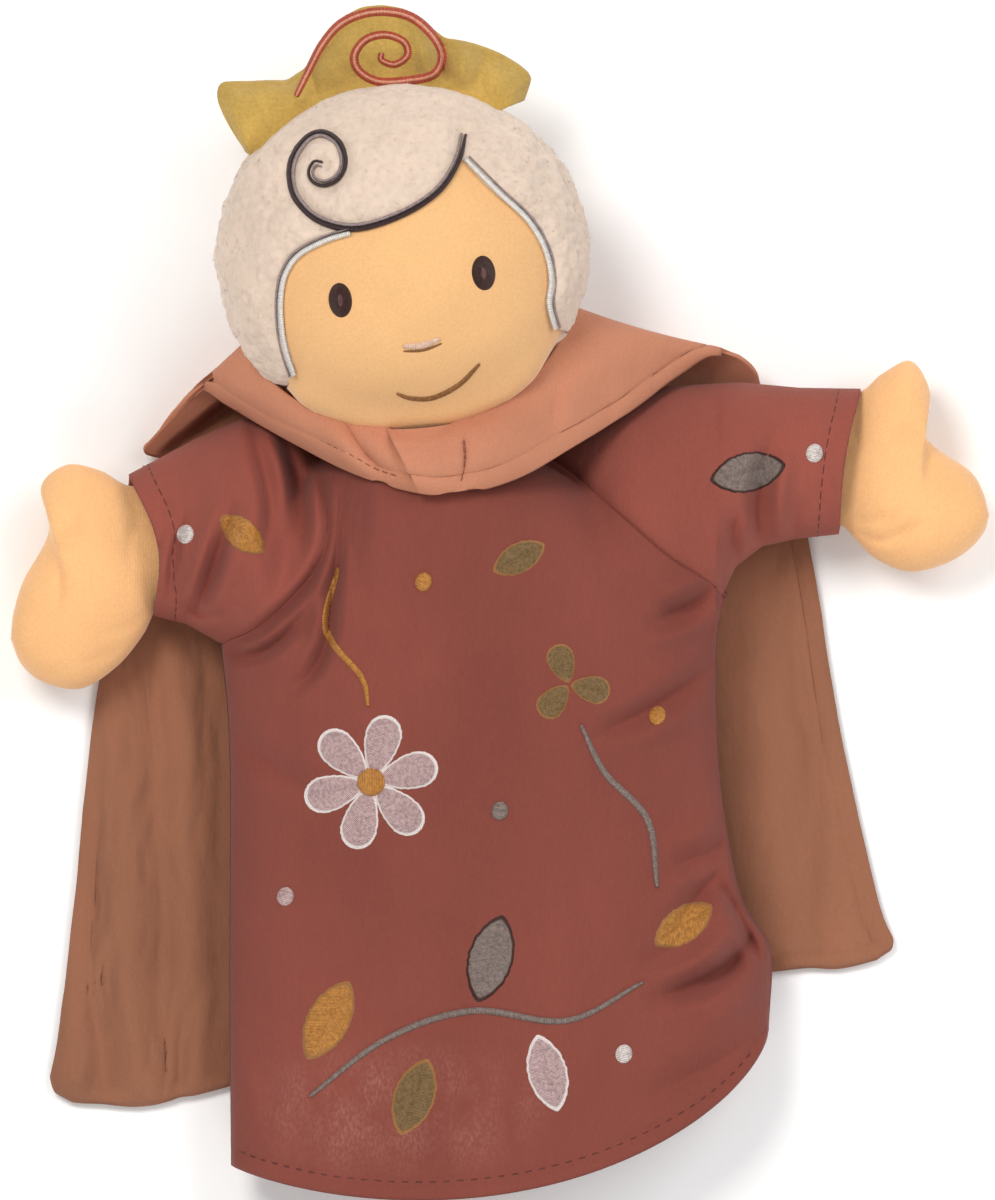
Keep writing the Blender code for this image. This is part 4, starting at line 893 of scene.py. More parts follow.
def makePile():
    # random directions from the head's centre, kept where the plush lies open
    dice = np.random.default_rng(3)
    d = dice.normal(size=(pile["count"] * 2, 3))
    d = d / np.linalg.norm(d, axis=1, keepdims=True)
    gap = faceGap(d)
    degrees = np.degrees(np.arctan2(d[:, 1], d[:, 0]))
    keep = np.where(d[:, 2] > 0, gap > 2.6, (d[:, 2] < -0.05) | (gap > 1.0))
    keep &= (
        ~((degrees > 54) & (degrees < 147) & (np.abs(d[:, 2]) < 0.16))
        & ~((d[:, 1] < -0.66) & (d[:, 2] > -0.9))
    )
    d = d[keep][: pile["count"]]
    root = ballPoint(d, plushHeight(d) - pile["root"])
    normal = d / hairBall
    normal = normal / np.linalg.norm(normal, axis=1, keepdims=True)
    side = np.cross(normal, dice.normal(size=d.shape))
    side = side / np.linalg.norm(side, axis=1, keepdims=True)
    flat = np.cross(normal, side)
    long = pile["length"] * dice.uniform(0.6, 1.2, (len(d), 1))
    t = np.linspace(0, 1, pile["rows"])
    bend = pile["bend"] * dice.uniform(0.6, 1.2, (len(d), 1))
    # each ribbon is an arc: it rises along the normal and bends over towards its side
    up = long * np.sin(bend * t) / bend
    over = long * (1 - np.cos(bend * t)) / bend
    middle = root[:, None] + normal[:, None] * up[..., None] + side[:, None] * over[..., None]
    half = pile["width"] / 2 * (1 - 0.6 * t**2)
    points = np.stack([middle - flat[:, None] * half[None, :, None],
                       middle + flat[:, None] * half[None, :, None]], axis=2)
    step = np.arange(pile["rows"] - 1) * 2
    one = np.stack([step, step + 2, step + 3, step + 1], axis=1)
    quads = (one[None] + (np.arange(len(d)) * pile["rows"] * 2)[:, None, None]).reshape(-1, 4)
    piece = addPiece("hair pile", points, quads, hairPlush)
    # the ribbons take the light as the plush below them does
    outward = np.repeat(normal, pile["rows"] * 2, axis=0)
    piece.data.normals_split_custom_set_from_vertices(outward.tolist())
    return piece


makePile()
print("hair ready")


# face: smooth jersey inside the hairline, down to a fine seam round the chin

face = {"height": 2.0, "chinHeight": 2.3, "under": 2.6, "cloth": 1.4, "bulge": 2.0}


def chinShare(x, y):
    # 1 under the chin, 0 where the hair begins on both sides
    degrees = np.degrees(np.arctan2(y, x))
    return easeStep(-134, -122, degrees) * easeStep(-28, -46, degrees)


def makeFace(columnsHair=170, columnsChin=100, rows=60):
    # rings that grow from a focus to the hairline and the chin, lifted to the ball and raised
    inner, outer = headBoundary(columnsHair, columnsChin)
    grow = (inner - faceFocus) / np.linalg.norm(inner - faceFocus, axis=1, keepdims=True)
    onRim = np.linalg.norm(inner - outer, axis=1) < 1e-6
    edge = np.where(onRim[:, None], inner, inner + grow * face["under"] / 38)
    size = np.linalg.norm(edge, axis=1, keepdims=True)
    edge = np.where(size > 0.999, edge / size * 0.9999, edge)
    r = np.linspace(0, 1, rows)[1:]
    share = (1 - (1 - r) ** 1.8)[:, None, None]
    flat = faceFocus + (edge - faceFocus) * share
    direction = lift3(flat)
    polar = np.arcsin(np.clip(np.linalg.norm(flat, axis=-1), 0, 1))
    fromRim = (np.pi / 2 - polar) * 34
    low = easeStep(-0.1, -0.75, flat[..., 1])
    height = face["height"] + (face["chinHeight"] - face["height"]) * easeStep(16, 0, fromRim) * low
    bulge = face["bulge"] * np.exp(-((fromRim - 8.5) / 6.0) ** 2)
    soft = cloudNoise(*[direction[..., k] * 36 for k in range(3)], 15) * 0.25
    height = height + bulge * chinShare(flat[..., 0], flat[..., 1]) + soft * easeStep(0, 5, fromRim)
    points = ballPoint(direction, height)
    middle = ballPoint(lift3(faceFocus[None]), np.array([face["height"]]))
    count = points.shape[1]
    allPoints = np.vstack([middle, points.reshape(-1, 3)])
    ring = np.arange(count)
    fan = np.column_stack([np.zeros(count, int), 1 + (ring + 1) % count, 1 + ring]).tolist()
    piece = addPiece("face jersey", allPoints, gridQuads(len(r), count, wrap=True, flip=False) + 1,
                     faceJersey, "face", caps=fan)
    thicken(piece, face["cloth"])
    return piece


makeFace()
print("face ready")


# embroidery: satin bands along paths and satin patches, each with its own threads

# the height of each cloth under the thread

def onTunic(x, y):
    return tunicFrontZ(x, y) + tunic["lift"]


def onFace(x, y):
    return ballZ(x, y, face["height"])


def onHair(x, y):
    return ballZ(x, y, plush["height"] - plush["groove"] + 0.45)


def onHairEdge(x, y):
    return ballZ(x, y, 2.9)


rimmed = {}


def rimmedThread(thread, rim):
    # satin in one thread with its outline in another, made once for each pair
    if (thread, rim) not in rimmed:
        rimmed[thread, rim] = satinThread(f"{thread} with {rim} rim", threadColours[thread],
                                          {"from": 0.86, "colour": threadColours[rim]})
    return rimmed[thread, rim]


def threadBand(name, path, width, thread, surface, replaces=(), rise=0.55, sink=0.3, taper=0.4,
               aside=0.0, count=160):
    # a rounded band of satin stitch: nine points across, its height an arch over the surface
    line = evenLine(path, count)
    steps = np.gradient(line, axis=0)
    sideways = np.column_stack([-steps[:, 1], steps[:, 0]]) / np.linalg.norm(steps, axis=1)[:, None]
    t = np.linspace(0, 1, count)
    half = width / 2 * (taper + (1 - taper) * np.clip(np.sin(np.pi * t), 0, 1) ** 0.45)
    across = np.linspace(-1, 1, 9)
    flat = line[:, None] + sideways[:, None] * (aside + half[:, None] * across)[..., None]
    z = surface(flat[..., 0], flat[..., 1]) + (rise + sink) * np.sqrt(1 - across**2 * 0.999) - sink
    points = np.dstack([flat[..., 0], flat[..., 1], z])
    walked = np.concatenate([[0], np.cumsum(np.linalg.norm(np.diff(line, axis=0), axis=1))])
    uv = np.stack([np.broadcast_to(walked[:, None], flat.shape[:2]),
                   np.broadcast_to(np.abs(across), flat.shape[:2])], axis=-1)
    piece = addPiece(name, points, gridQuads(count, 9, flip=True), satin[thread], replaces, uv)
    return piece


def stitchPatch(name, centre, turn, outline, thread, surface, replaces=(), rise=0.7, vein=0.0,
                rim=None, rings=14, threadTurn=0.0):
    # a domed patch: rings shrink from the outline to the centre; stitches cross it, and a vein may split it
    c, s = np.cos(np.radians(turn)), np.sin(np.radians(turn))
    share = np.sin(np.linspace(np.pi / 2, 0, rings)) ** 0.8
    local = outline[None] * share[:, None, None]
    flat = local @ np.array([(c, s), (-s, c)]) + centre
    dome = rise * (1 - share**3.0)[:, None] ** 0.5
    dome = dome + (
        0.14 * cloudNoise(flat[..., 0], flat[..., 1], 0 * flat[..., 0], 0.9, 2) * (1 - share**6)[:, None]
    )
    dome = dome - vein * np.exp(-((local[..., 1] / 0.32) ** 2)) * (1 - share**4)[:, None]
    z = surface(flat[..., 0], flat[..., 1]) + dome - 0.1
    tc, ts = np.cos(np.radians(threadTurn)), np.sin(np.radians(threadTurn))
    run = local[..., 0] * tc + local[..., 1] * ts + np.abs(local[..., 1]) * (0.55 if vein else 0)
    uv = np.stack([run, np.broadcast_to(share[:, None], run.shape)], axis=-1)
    material = rimmedThread(thread, rim) if rim else satin[thread]
    piece = addPiece(name, np.dstack([flat[..., 0], flat[..., 1], z]),
                     gridQuads(rings, len(outline), wrap=True), material, replaces, uv)
    return piece


def ovalOutline(long, wide, count=48):
    # an ellipse
    a = np.linspace(0, 2 * np.pi, count, endpoint=False)
    return np.column_stack([long * np.cos(a), wide * np.sin(a)])


def leafOutline(long, wide, count=72):
    # an ellipse pinched to a point at both ends, with a slightly ragged edge
    a = np.linspace(0, 2 * np.pi, count, endpoint=False)
    ragged = 1 + 0.035 * noiseTable[1][:count]
    return np.column_stack([long * np.cos(a), wide * np.sin(a) * np.abs(np.sin(a)) ** 0.5 * ragged])


def petalOutline(length, width, base=1.2, count=56):
    # a petal from near the centre out to its tip, widest past its middle
    a = np.linspace(0, 2 * np.pi, count, endpoint=False)
    u = (1 - np.cos(a)) / 2
    ragged = 1 + 0.03 * noiseTable[2][:count]
    return np.column_stack([base + length * u - length / 2 - base,
                            np.sin(a) * width * (0.55 + 0.6 * u) * ragged])


for eyeName, eyeCentre in (("eye left", (-33.4, 62.9)), ("eye right", (-3.4, 68.6))):
    stitchPatch(eyeName, eyeCentre, 96, ovalOutline(3.7, 2.5), "dark", onFace,
                eyeName.replace(" ", "_"), rise=0.9, threadTurn=70)
    stitchPatch(f"{eyeName} glint", eyeCentre, 96, ovalOutline(1.9, 0.8, 24), "glint", onFace,
                rise=1.05, threadTurn=70)
noseLine = [(-20.2, 53.0), (-16.2, 53.2), (-12.4, 54.6)]
threadBand("nose line", noseLine, 0.8, "brown", onFace, "nose", rise=0.35, aside=-0.75)
threadBand("nose edge", noseLine, 1.7, "pink", onFace, rise=0.55, aside=0.25)
threadBand("smile", [(-21.6, 43.4), (-18.6, 42.4), (-14, 42.5), (-8.6, 45.2), (-4.2, 49.6)], 1.2, "brown",
           onFace, "mouth", rise=0.4)


threadBand("hair curl", curlKnots, 1.25, "plum", onHair, "hair_curl", aside=0.3, count=420,
           rise=0.75, sink=0.8)
threadBand("hair curl inside", curlKnots, 1.0, "mauve", onHair, aside=-0.62, count=420,
           rise=0.6, sink=0.8)
for sideName, path, way in (("left", pipingLeft, 1), ("right", pipingRight, -1)):
    threadBand(f"hair piping {sideName}", path, 1.3, "cream", onHairEdge,
               f"hair_piping_{sideName}",
               rise=0.7, sink=1.0, taper=0.85, aside=0.45 * way, count=140)
    # beside each cord a mauve band on the hair: painted shadow of the cord
    threadBand(f"hair piping {sideName} edge", path, 0.6, "mauve", onHairEdge,
               rise=0.5, sink=1.0, taper=0.7, aside=-0.5 * way, count=140)
print("head embroidery ready")


# embroidery on the tunic: flowers, leaves on a stem and scattered dots

flower = {"centre": (-27, -38), "petals": 6, "turn": 15, "length": 13.2, "width": 4.3}
for k in range(flower["petals"]):
    angle = flower["turn"] + k * 360 / flower["petals"]
    reach = flower["length"] / 2 + 1.3
    spot = (flower["centre"][0] + reach * np.cos(np.radians(angle)),
            flower["centre"][1] + reach * np.sin(np.radians(angle)))
    stitchPatch(f"flower petal {k + 1}", spot, angle, petalOutline(flower["length"], flower["width"]),
                "lilac", onTunic,
                "flower_lilac" if k == 0 else (), rim="white", vein=0.25)
stitchPatch("flower heart", flower["centre"], 0, ovalOutline(3.0, 3.0, 40), "ochre", onTunic,
            "flower_lilac_heart", rise=1.5)
bud = {"centre": (14.5, -17.5), "lobes": 3, "turn": 108, "reach": 4.6, "length": 8.4, "width": 3.3}
for k in range(bud["lobes"]):
    angle = bud["turn"] + k * 360 / bud["lobes"]
    spot = (bud["centre"][0] + bud["reach"] * np.cos(np.radians(angle)),
            bud["centre"][1] + bud["reach"] * np.sin(np.radians(angle)))
    stitchPatch(f"bud lobe {k + 1}", spot, angle, petalOutline(bud["length"], bud["width"]), "olive",
                onTunic, "bud_olive" if k == 0 else (), rim="brown", vein=0.2)

stems = [
    ("stem ochre", [(-34, 7), (-36.4, -6), (-29, -16), (-27.6, -22)], "ochre", "ochre_thread"),
    ("stem grey", [(33, -60), (31, -46), (22, -36), (17, -26)], "grey", "grey_thread"),
    ("stem brown", [(-40, -104), (-24, -92), (-6, -86), (14, -88), (30, -80)], "grey", "grey_thread"),
]
for stemName, path, thread, slotName in stems:
    threadBand(stemName, path, 1.6, thread, onTunic, stemName.replace(" ", "_"), rise=0.6)

leaves = [
    ("leaf ochre", (-36, -88), (9.4, 4.6), 62, "ochre", "brown", "ochre_thread"),
    ("leaf olive", (-18, -104), (8.6, 4.4), 250, "olive", "brown", "olive_thread"),
    ("leaf grey", (-2, -75), (9.6, 4.8), 74, "grey", "dark", "grey_thread"),
    ("leaf lilac", (10, -99), (8.4, 4.2), 285, "lilac", "white", "lilac_thread"),
    ("leaf side", (38.5, -68), (7.4, 3.8), 35, "ochre", "brown", "ochre_thread"),
    ("leaf chest", (4, 9), (6.2, 3.2), 28, "olive", "brown", "olive_thread"),
    ("leaf sleeve right", (52, 27), (8.2, 4.2), 12, "grey", "dark", "grey_thread"),
    ("leaf sleeve left", (-54, 14), (6.0, 3.2), 140, "ochre", "brown", "ochre_thread"),
]
for leafName, spot, (long, wide), angle, thread, rim, slotName in leaves:
    stitchPatch(leafName, spot, angle, leafOutline(long, wide), thread, onTunic,
                leafName.replace(" ", "_"), rim=rim, vein=0.3)

dots = [
    ("dot left cuff", (-66, 14), "white", "white_thread"),
    ("dot right cuff", (66, 31), "white", "white_thread"),
    ("dot chest", (-16, 4), "ochre", "ochre_thread"), ("dot waist", (0, -44), "grey", "grey_thread"),
    ("dot side", (33, -24), "ochre", "ochre_thread"), ("dot hem", (26, -95), "white", "white_thread"),
    ("dot left", (-45, -62), "lilac", "lilac_thread"),
]
for dotName, spot, thread, slotName in dots:
    stitchPatch(dotName, spot, 75, ovalOutline(2.0, 1.8, 32), thread, onTunic,
                dotName.replace(" ", "_"), rise=1.0, rings=8)
print("tunic embroidery ready")


# running stitches: small rounded capsules laid end to end with gaps, following a line of 3-D points

def runningStitch(name, line, normal, thread, long=1.8, gapAfter=1.1, width=0.5, sink=0.05):
    # at each of six points along a stitch a circle across it, smaller at both ends
    steps = np.concatenate([[0], np.cumsum(np.linalg.norm(np.diff(line, axis=0), axis=1))])
    starts = np.arange(0.5, steps[-1] - long, long + gapAfter)
    t = np.linspace(0, 1, 6)
    at = starts[:, None] + t * long
    middle = np.stack([np.interp(at, steps, line[:, k]) for k in range(3)], axis=-1)
    up = np.stack([np.interp(at, steps, normal[:, k]) for k in range(3)], axis=-1)
    up = up / np.linalg.norm(up, axis=-1, keepdims=True)
    along = np.gradient(middle, axis=1)
    side = np.cross(along, up)
    side = side / np.maximum(np.linalg.norm(side, axis=-1, keepdims=True), 1e-9)
    turn = np.linspace(0, 2 * np.pi, 8, endpoint=False)
    thick = width / 2 * np.sqrt(np.clip(1 - (2 * t - 1) ** 4, 0.02, 1))[None, :, None, None]
    ring = side[:, :, None] * np.cos(turn)[:, None] + up[:, :, None] * np.sin(turn)[:, None]
    points = middle[:, :, None] + ring * thick + up[:, :, None] * (width / 2 - sink - 0.25)
    one = gridQuads(6, 8, wrap=True)
    quads = (one[None] + (np.arange(len(starts)) * 48)[:, None, None]).reshape(-1, 4)
    base = np.arange(len(starts))[:, None] * 48
    caps = np.concatenate([base + np.arange(8)[::-1], base + 40 + np.arange(8)]).tolist()
    piece = addPiece(name, points, quads, satin[thread], caps=caps)
    return piece


def insetFromFirstRow(points, distance):
    # the line on a grid of points that stays this far from its first row, and the normals along it
    walked = np.concatenate([np.zeros((1, points.shape[1])),
                             np.cumsum(np.linalg.norm(np.diff(points, axis=0), axis=2), axis=0)])
    normals = normalsOf(points)
    found, up = [], []
    for c in range(points.shape[1]):
        found.append([np.interp(distance, walked[:, c], points[:, c, k]) for k in range(3)])
        up.append([np.interp(distance, walked[:, c], normals[:, c, k]) for k in range(3)])
    return np.array(found), np.array(up)


hemLine, hemUp = insetFromFirstRow(frontPoints, 4.0)
runningStitch("hem stitches", hemLine[5:-9], hemUp[5:-9], "seam", width=0.42)
backHemLine, backHemUp = insetFromFirstRow(backPoints, 4.0)
betweenSeams = (backHemLine[:, 0] > -52) & (backHemLine[:, 0] < 48)
runningStitch("back hem stitches", backHemLine[betweenSeams], -backHemUp[betweenSeams], "seam",
              width=0.42)
for cuffName, grid in (("left cuff stitches", leftPoints), ("right cuff stitches", rightPoints)):
    line, _ = insetFromFirstRow(grid[::-1], 4.6)
    loop = np.vstack([line, line[:1]])
    outward = loop - line.mean(axis=0)
    runningStitch(cuffName, loop, outward, "seam", width=0.3, long=2.4, gapAfter=0.4,
                  sink=-0.06)
print("stitches ready")


# crown: one padded band of velour standing on the head's top seam, its height set by the angle

crown = {
    "angles": [56.6, 57.6, 59, 62, 66, 73, 79, 83.5, 89, 94, 99, 104.5, 110.5, 117, 123, 130.5, 136, 139,
               141, 144, 146],
    "heights": [2.6, 7.8, 9.4, 10, 10.3, 10.2, 9.8, 12, 15, 16, 16.1, 14.6, 10.7, 7.2, 6.8, 11, 15.2, 13.6,
                10.6, 5, 0.8],
    "wave": 3.4, "softness": 1.5, "cloth": 1.5, "seat": -1.3, "tucks": 0.45, "lean": 4.6,
}


def crownHeights(degrees):
    # straight lines between the listed heights, smoothed by the mean of three neighbours
    return sum(np.interp(degrees + k, crown["angles"], crown["heights"]) for k in (-0.9, 0, 0.9)) / 3 + 1.0


def crownReach(angle):
    # the radius of the hair's ellipse at this angle, less the seat
    ellipse = (np.cos(angle) / hairOuter[0]) ** 2 + (np.sin(angle) / hairOuter[1]) ** 2
    return ellipse ** -0.5 + crown["seat"]


def crownMiddle(degrees, v):
    # v runs from the seam on the head to the crown's edge; a wave swings the edge to the front and back
    heights = crownHeights(degrees)
    angle = np.radians(degrees - crown["lean"] * v * easeStep(72, 57, degrees))
    radius = crownReach(angle) + v * heights
    wave = crown["wave"] * np.cos(np.radians(degrees - 96) * 5.2) * v**1.3 * easeStep(0, 9, heights)
    return head["x"] + radius * np.cos(angle), head["y"] + radius * np.sin(angle), head["z"] + wave, heights


def crownHalf(v, heights):
    # half the thickness: the cloth, rounded off at the edge, plus a soft swell in the middle
    rounding = np.sqrt(np.clip(1 - v**5, 0, 1))
    return crown["cloth"] * rounding + crown["softness"] * np.sin(np.pi * v) ** 2 * easeStep(0, 6, heights)


def crownRelief(degrees, v, side):
    # soft lumps, tucks that fan out from the seam, a fold where each wing passes behind the middle
    x, y, z, heights = crownMiddle(degrees, v)
    lumps = cloudNoise(x, y, z + side * 4, 7) * 0.45 + cloudNoise(x, y, z + side * 4, 3, 1) * 0.16
    tucks = np.sin(np.radians(degrees) * 46 + 2 * cloudNoise(x, y, z, 9)) * np.exp(-v * 4.5) * crown["tucks"]
    foldRight = (
        -2.9 * np.exp(-(np.abs(degrees - 75.5 - 4.5 * v) / 1.6) ** 1.3)
        + 1.8 * np.exp(-((degrees - 81.5 - 4.5 * v) / 3) ** 2)
    )
    foldRight = (
        foldRight + 1.2 * np.exp(-((degrees - 70.5 - 3 * v) / 2.2) ** 2)
        - 1.6 * np.exp(-((degrees - 66 - 2 * v) / 1.9) ** 2)
    )
    foldLeft = (
        -1.6 * np.exp(-(np.abs(degrees - 119 + 4 * v) / 2.4) ** 1.3)
        + 0.8 * np.exp(-((degrees - 126 + 4 * v) / 4) ** 2)
    )
    edge = -0.5 * np.exp(-(((v - 0.86) / 0.05) ** 2)) * easeStep(3, 8, heights)
    folds = (foldRight + foldLeft) * easeStep(0.0, 0.35, v) * side
    return (lumps + tucks + folds) * easeStep(0, 5, heights) + edge


def makeCrown(columns=280, ring=76):
    # a closed tube: its cross-section goes up the front, over the rounded edge and down the back
    degrees = np.linspace(crown["angles"][0], crown["angles"][-1], columns)
    turn = np.linspace(0, 2 * np.pi, ring, endpoint=False)[:, None]
    v = (1 - np.cos(turn)) / 2
    side = np.where(np.sin(turn) >= 0, 1, -1)
    x, y, z, heights = crownMiddle(degrees[None], v)
    half = crownHalf(v, heights) + crownRelief(degrees[None], v, side) * np.sin(turn) ** 2
    points = np.dstack([x, y, z + side * half]).transpose(1, 0, 2)
    ends = [list(range(ring))[::-1], [(columns - 1) * ring + k for k in range(ring)]]
    piece = addPiece("crown", points, gridQuads(columns, ring, wrap=True), crownVelour,
                     ("crown_front", "crown_back"), caps=ends)
    return piece


makeCrown()
spiralKnots = [
    (-42.7, 105.9), (-39.9, 111.6), (-37.1, 116.8), (-33.3, 121), (-28.1, 123.2), (-22.4, 123.4),
    (-17.7, 121.8),
    (-13.5, 117.7), (-12.1, 113.9), (-13.9, 110.4), (-18.7, 109.2), (-25.3, 108.9), (-29.5, 111.1),
    (-30.5, 114.4),
    (-28.1, 117.7), (-23.9, 118.7), (-20.1, 117.2), (-19.4, 114.4), (-22, 112.5), (-24.8, 113.4),
    (-24.8, 114.9),
]


def onCrown(x, y):
    # the crown's front above a point, found from that point's angle and distance from the head's centre
    angle = np.arctan2(y - head["y"], x - head["x"])
    degrees = np.degrees(angle)
    v = (np.hypot(x - head["x"], y - head["y"]) - crownReach(angle)) / crownHeights(degrees)
    v = np.clip(v, 0.02, 0.93)
    heights = crownMiddle(degrees, v)[3]
    bulge = 4 * v * (1 - v)
    return crownMiddle(degrees, v)[2] + crownHalf(v, heights) + crownRelief(degrees, v, 1) * bulge


threadBand("crown spiral", spiralKnots, 2.3, "terracotta", onCrown, "crown_spiral",
           rise=0.55, sink=0.5, taper=0.6, count=340)
threadBand("crown spiral middle", spiralKnots, 0.85, "rose", onCrown, rise=0.85, sink=0.1,
           taper=0.6, count=340)
print("crown ready")


# collar: a soft band round the neck, its ends lapped in front, lying on the chest and under the head

collar = {"lap": 9.0, "roll": 2.6, "across": 33.0, "deep": 15.5, "aside": 1.5, "clear": 1.1,
          "neckClear": 1.9, "cloth": 1.1, "hem": 0.4,
          "pocket": [(-74.4, 30.8), (0.773, 0.634)]}
collarEdge = [
    (-9.5, 22.8, 43), (3, 26, 41), (15, 32.6, 36), (27, 40.2, 27), (36, 47, 20.5), (44, 52, 17),
    (50.5, 50.8, 13),
    (54.4, 46.4, 8), (52, 40.8, 2.6), (30, 38.2, 1.2), (-10, 36, 1.2), (-48, 34, 1.2), (-62, 29.8, 1.4),
    (-74.4, 30.8, 4.5),
    (-72, 35.4, 8), (-68.2, 40.6, 11.5), (-63, 45.2, 15), (-57, 42, 19), (-50, 37.8, 23), (-42, 33.4, 30),
    (-31.5, 28, 38), (-20, 24, 42),
]
# folds in it: points along each, half width and height
collarFolds = [
    ([(-32.4, 37.4), (-29.4, 32.6), (-24, 26.6)], 1.2, -1.7),
    ([(-34.6, 36), (-31.4, 31), (-27, 26.8)], 1.8, 1.0),
    ([(-27, 35), (-23, 30), (-19, 25.8)], 2.4, 0.6), ([(12, 45), (10.6, 36)], 1.6, -0.9),
    ([(14.6, 46), (13.4, 37)], 2.2, 0.6),
    ([(-32.6, 36), (-28.6, 31.8), (-23, 27.4)], 0.9, -1.4),
    ([(49, 48.4), (44, 47.4), (38.6, 46)], 1.6, -2.6),
    ([(-7.9, 35), (-7.4, 29.8), (-8.4, 24)], 0.7, -1.2),
]


chinBall = {"across": 37.3, "up": 35.7, "deep": 31.1}


def underHead(x, z):
    # the lowest y of the head, pressed by the collar, over a point of the neck's opening
    off = ((x - head["x"]) / chinBall["across"]) ** 2 + ((z - head["z"]) / chinBall["deep"]) ** 2
    return head["y"] - chinBall["up"] * np.sqrt(np.clip(1 - off, 0, 1))


def makeCollar(columns=380, rows=44):
    # straight lines from the neck's opening to the outer edge, raised by a roll, a hem, folds and the lap
    lap = np.radians(collar["lap"])
    turn = np.linspace(np.pi / 2 + lap, -1.5 * np.pi - lap, columns)
    v = np.linspace(0, 1, rows)[:, None]
    innerX = head["x"] + collar["aside"] + collar["across"] * np.cos(turn)
    innerZ = neckLine["z"] + collar["deep"] * np.sin(turn)
    clear = collar["neckClear"] * (0.3 + 0.7 * np.clip(np.sin(turn), 0, 1) ** 1.5)
    inner = np.column_stack([innerX, underHead(innerX, innerZ) - clear, innerZ])
    outer = lineThrough(collarEdge, ((np.pi / 2 - turn) / (2 * np.pi)) % 1, closed=True)
    x, y, z = np.moveaxis(inner + (outer - inner) * v[..., None], 2, 0)
    front = easeStep(-0.1, 0.25, np.sin(turn))
    z = z + collar["roll"] * np.sin(np.pi * v) * front
    # the hem: a folded edge with a groove where it is stitched, and drag lines that run towards the lap
    length = np.linalg.norm(outer - inner, axis=1)
    fromEdge = (1 - v) * length
    z = z + collar["hem"] * (np.exp(-((fromEdge - 1.6) / 1.5) ** 2)
                             - np.exp(-((fromEdge - 4.2) / 0.8) ** 2)) * front
    drag = cloudNoise(x, y * 1.6, z, 10) * 0.9 + cloudNoise(x, y, z, 4.5, 1) * 0.3
    z = z + drag * front * np.sin(np.pi * np.clip(v, 0.02, 0.9)) ** 0.5
    for line, half, height in collarFolds:
        gap, share = awayFrom(line, x, y, 16)
        fade = np.sin(np.pi * np.clip(share, 0.03, 0.97)) ** 0.5 * easeStep(-0.15, 0.1, np.sin(turn))
        z = z + height * np.exp(-((np.abs(gap) / half) ** 1.5)) * fade
    # behind its left corner it drops to the ground, which leaves a dark pocket beside the top of the sleeve
    (cornerX, cornerY), (alongX, alongY) = collar["pocket"]
    below = alongY * (x - cornerX) - alongX * (y - cornerY)
    pocket = (
        easeStep(0.8, 2.6, below) * easeStep(-73, -68, x)
        * easeStep(0.12, -0.04, np.sin(turn)) * (np.cos(turn) < 0)
    )
    z = z * (1 - pocket) + 1.0 * pocket
    resting = tunicFrontZ(x, y) + collar["clear"] + 0.2
    z = np.where((front > 0.5) & (resting > sideSeamZ + 4), np.maximum(z, resting), z)
    upperEnd = easeStep(np.radians(48), np.radians(74), turn)
    z = z + (collar["cloth"] + collar["clear"]) * upperEnd * easeStep(0.0, 0.25, v)
    points = np.dstack([x, y, z])
    piece = addPiece("cape collar", points, gridQuads(rows, columns, flip=True), collarCotton, "cape_collar")
    thicken(piece, collar["cloth"], outwards=True)
    return piece, points


collarPiece, collarPoints = makeCollar()


# cape: one sheet between its four edges, flat under the tunic and crinkled along its length beside it

cape = {
    "left": [(-95, -104), (-91, -84), (-86.5, -38), (-80, 2), (-74.4, 28.4)],
    "right": [(84, -74), (79, -62), (71.6, -29), (64.5, 12), (58.5, 42.5)],
    "hem": [(-95, -104), (-77, -105.6), (-58, -102), (0, -90), (56, -78), (72, -76.6), (84, -74)],
    "top": [(-74.4, 28.4), (-63, 28.2), (-54, 30.8), (-46, 32.8), (-10, 35.3), (30, 37.5), (50, 38.6),
            (58.5, 42.5)],
    "fold": 2.8, "crinkle": 1.7, "cloth": 1.1, "hemRoll": 0.5, "corner": 5.0, "inside": 4,
}


def capeZ(x, y):
    # waves and crinkles that grow with the distance from the tunic
    low, high = chestEdges(np.minimum(y, armpitY))
    clear = np.maximum(low - x, (x - high) * 0.7)
    beside = easeStep(1, 12, clear) * easeStep(8, -22, y)
    folds = 0.5 + 0.5 * np.sin(x * 0.42 + 0.05 * y + 0.8 * np.sin(y * 0.05))
    z = cape["fold"] * beside * folds * np.where(x > 0, 0.45, 1)
    # crinkles: sharp ridges of noise drawn out along the cape, in two sizes, stronger on the left
    warp = x + 2.6 * cloudNoise(x, y, 0 * x, 16) + 0.9 * cloudNoise(x, y, 0 * x + 3, 6)
    ridge = 1 - np.abs(cloudNoise(warp, y * 0.16, 0 * x + 7, 5.0)) * 2.0
    small = 1 - np.abs(cloudNoise(warp, y * 0.3, 0 * x + 20, 2.4, 1)) * 2.0
    crinkle = np.clip(ridge * 0.6 + small * 0.2 + 0.2, 0, 1.4)
    return z + cape["crinkle"] * easeStep(-1, 7, clear) * crinkle * np.where(x > 0, 0.32, 1)


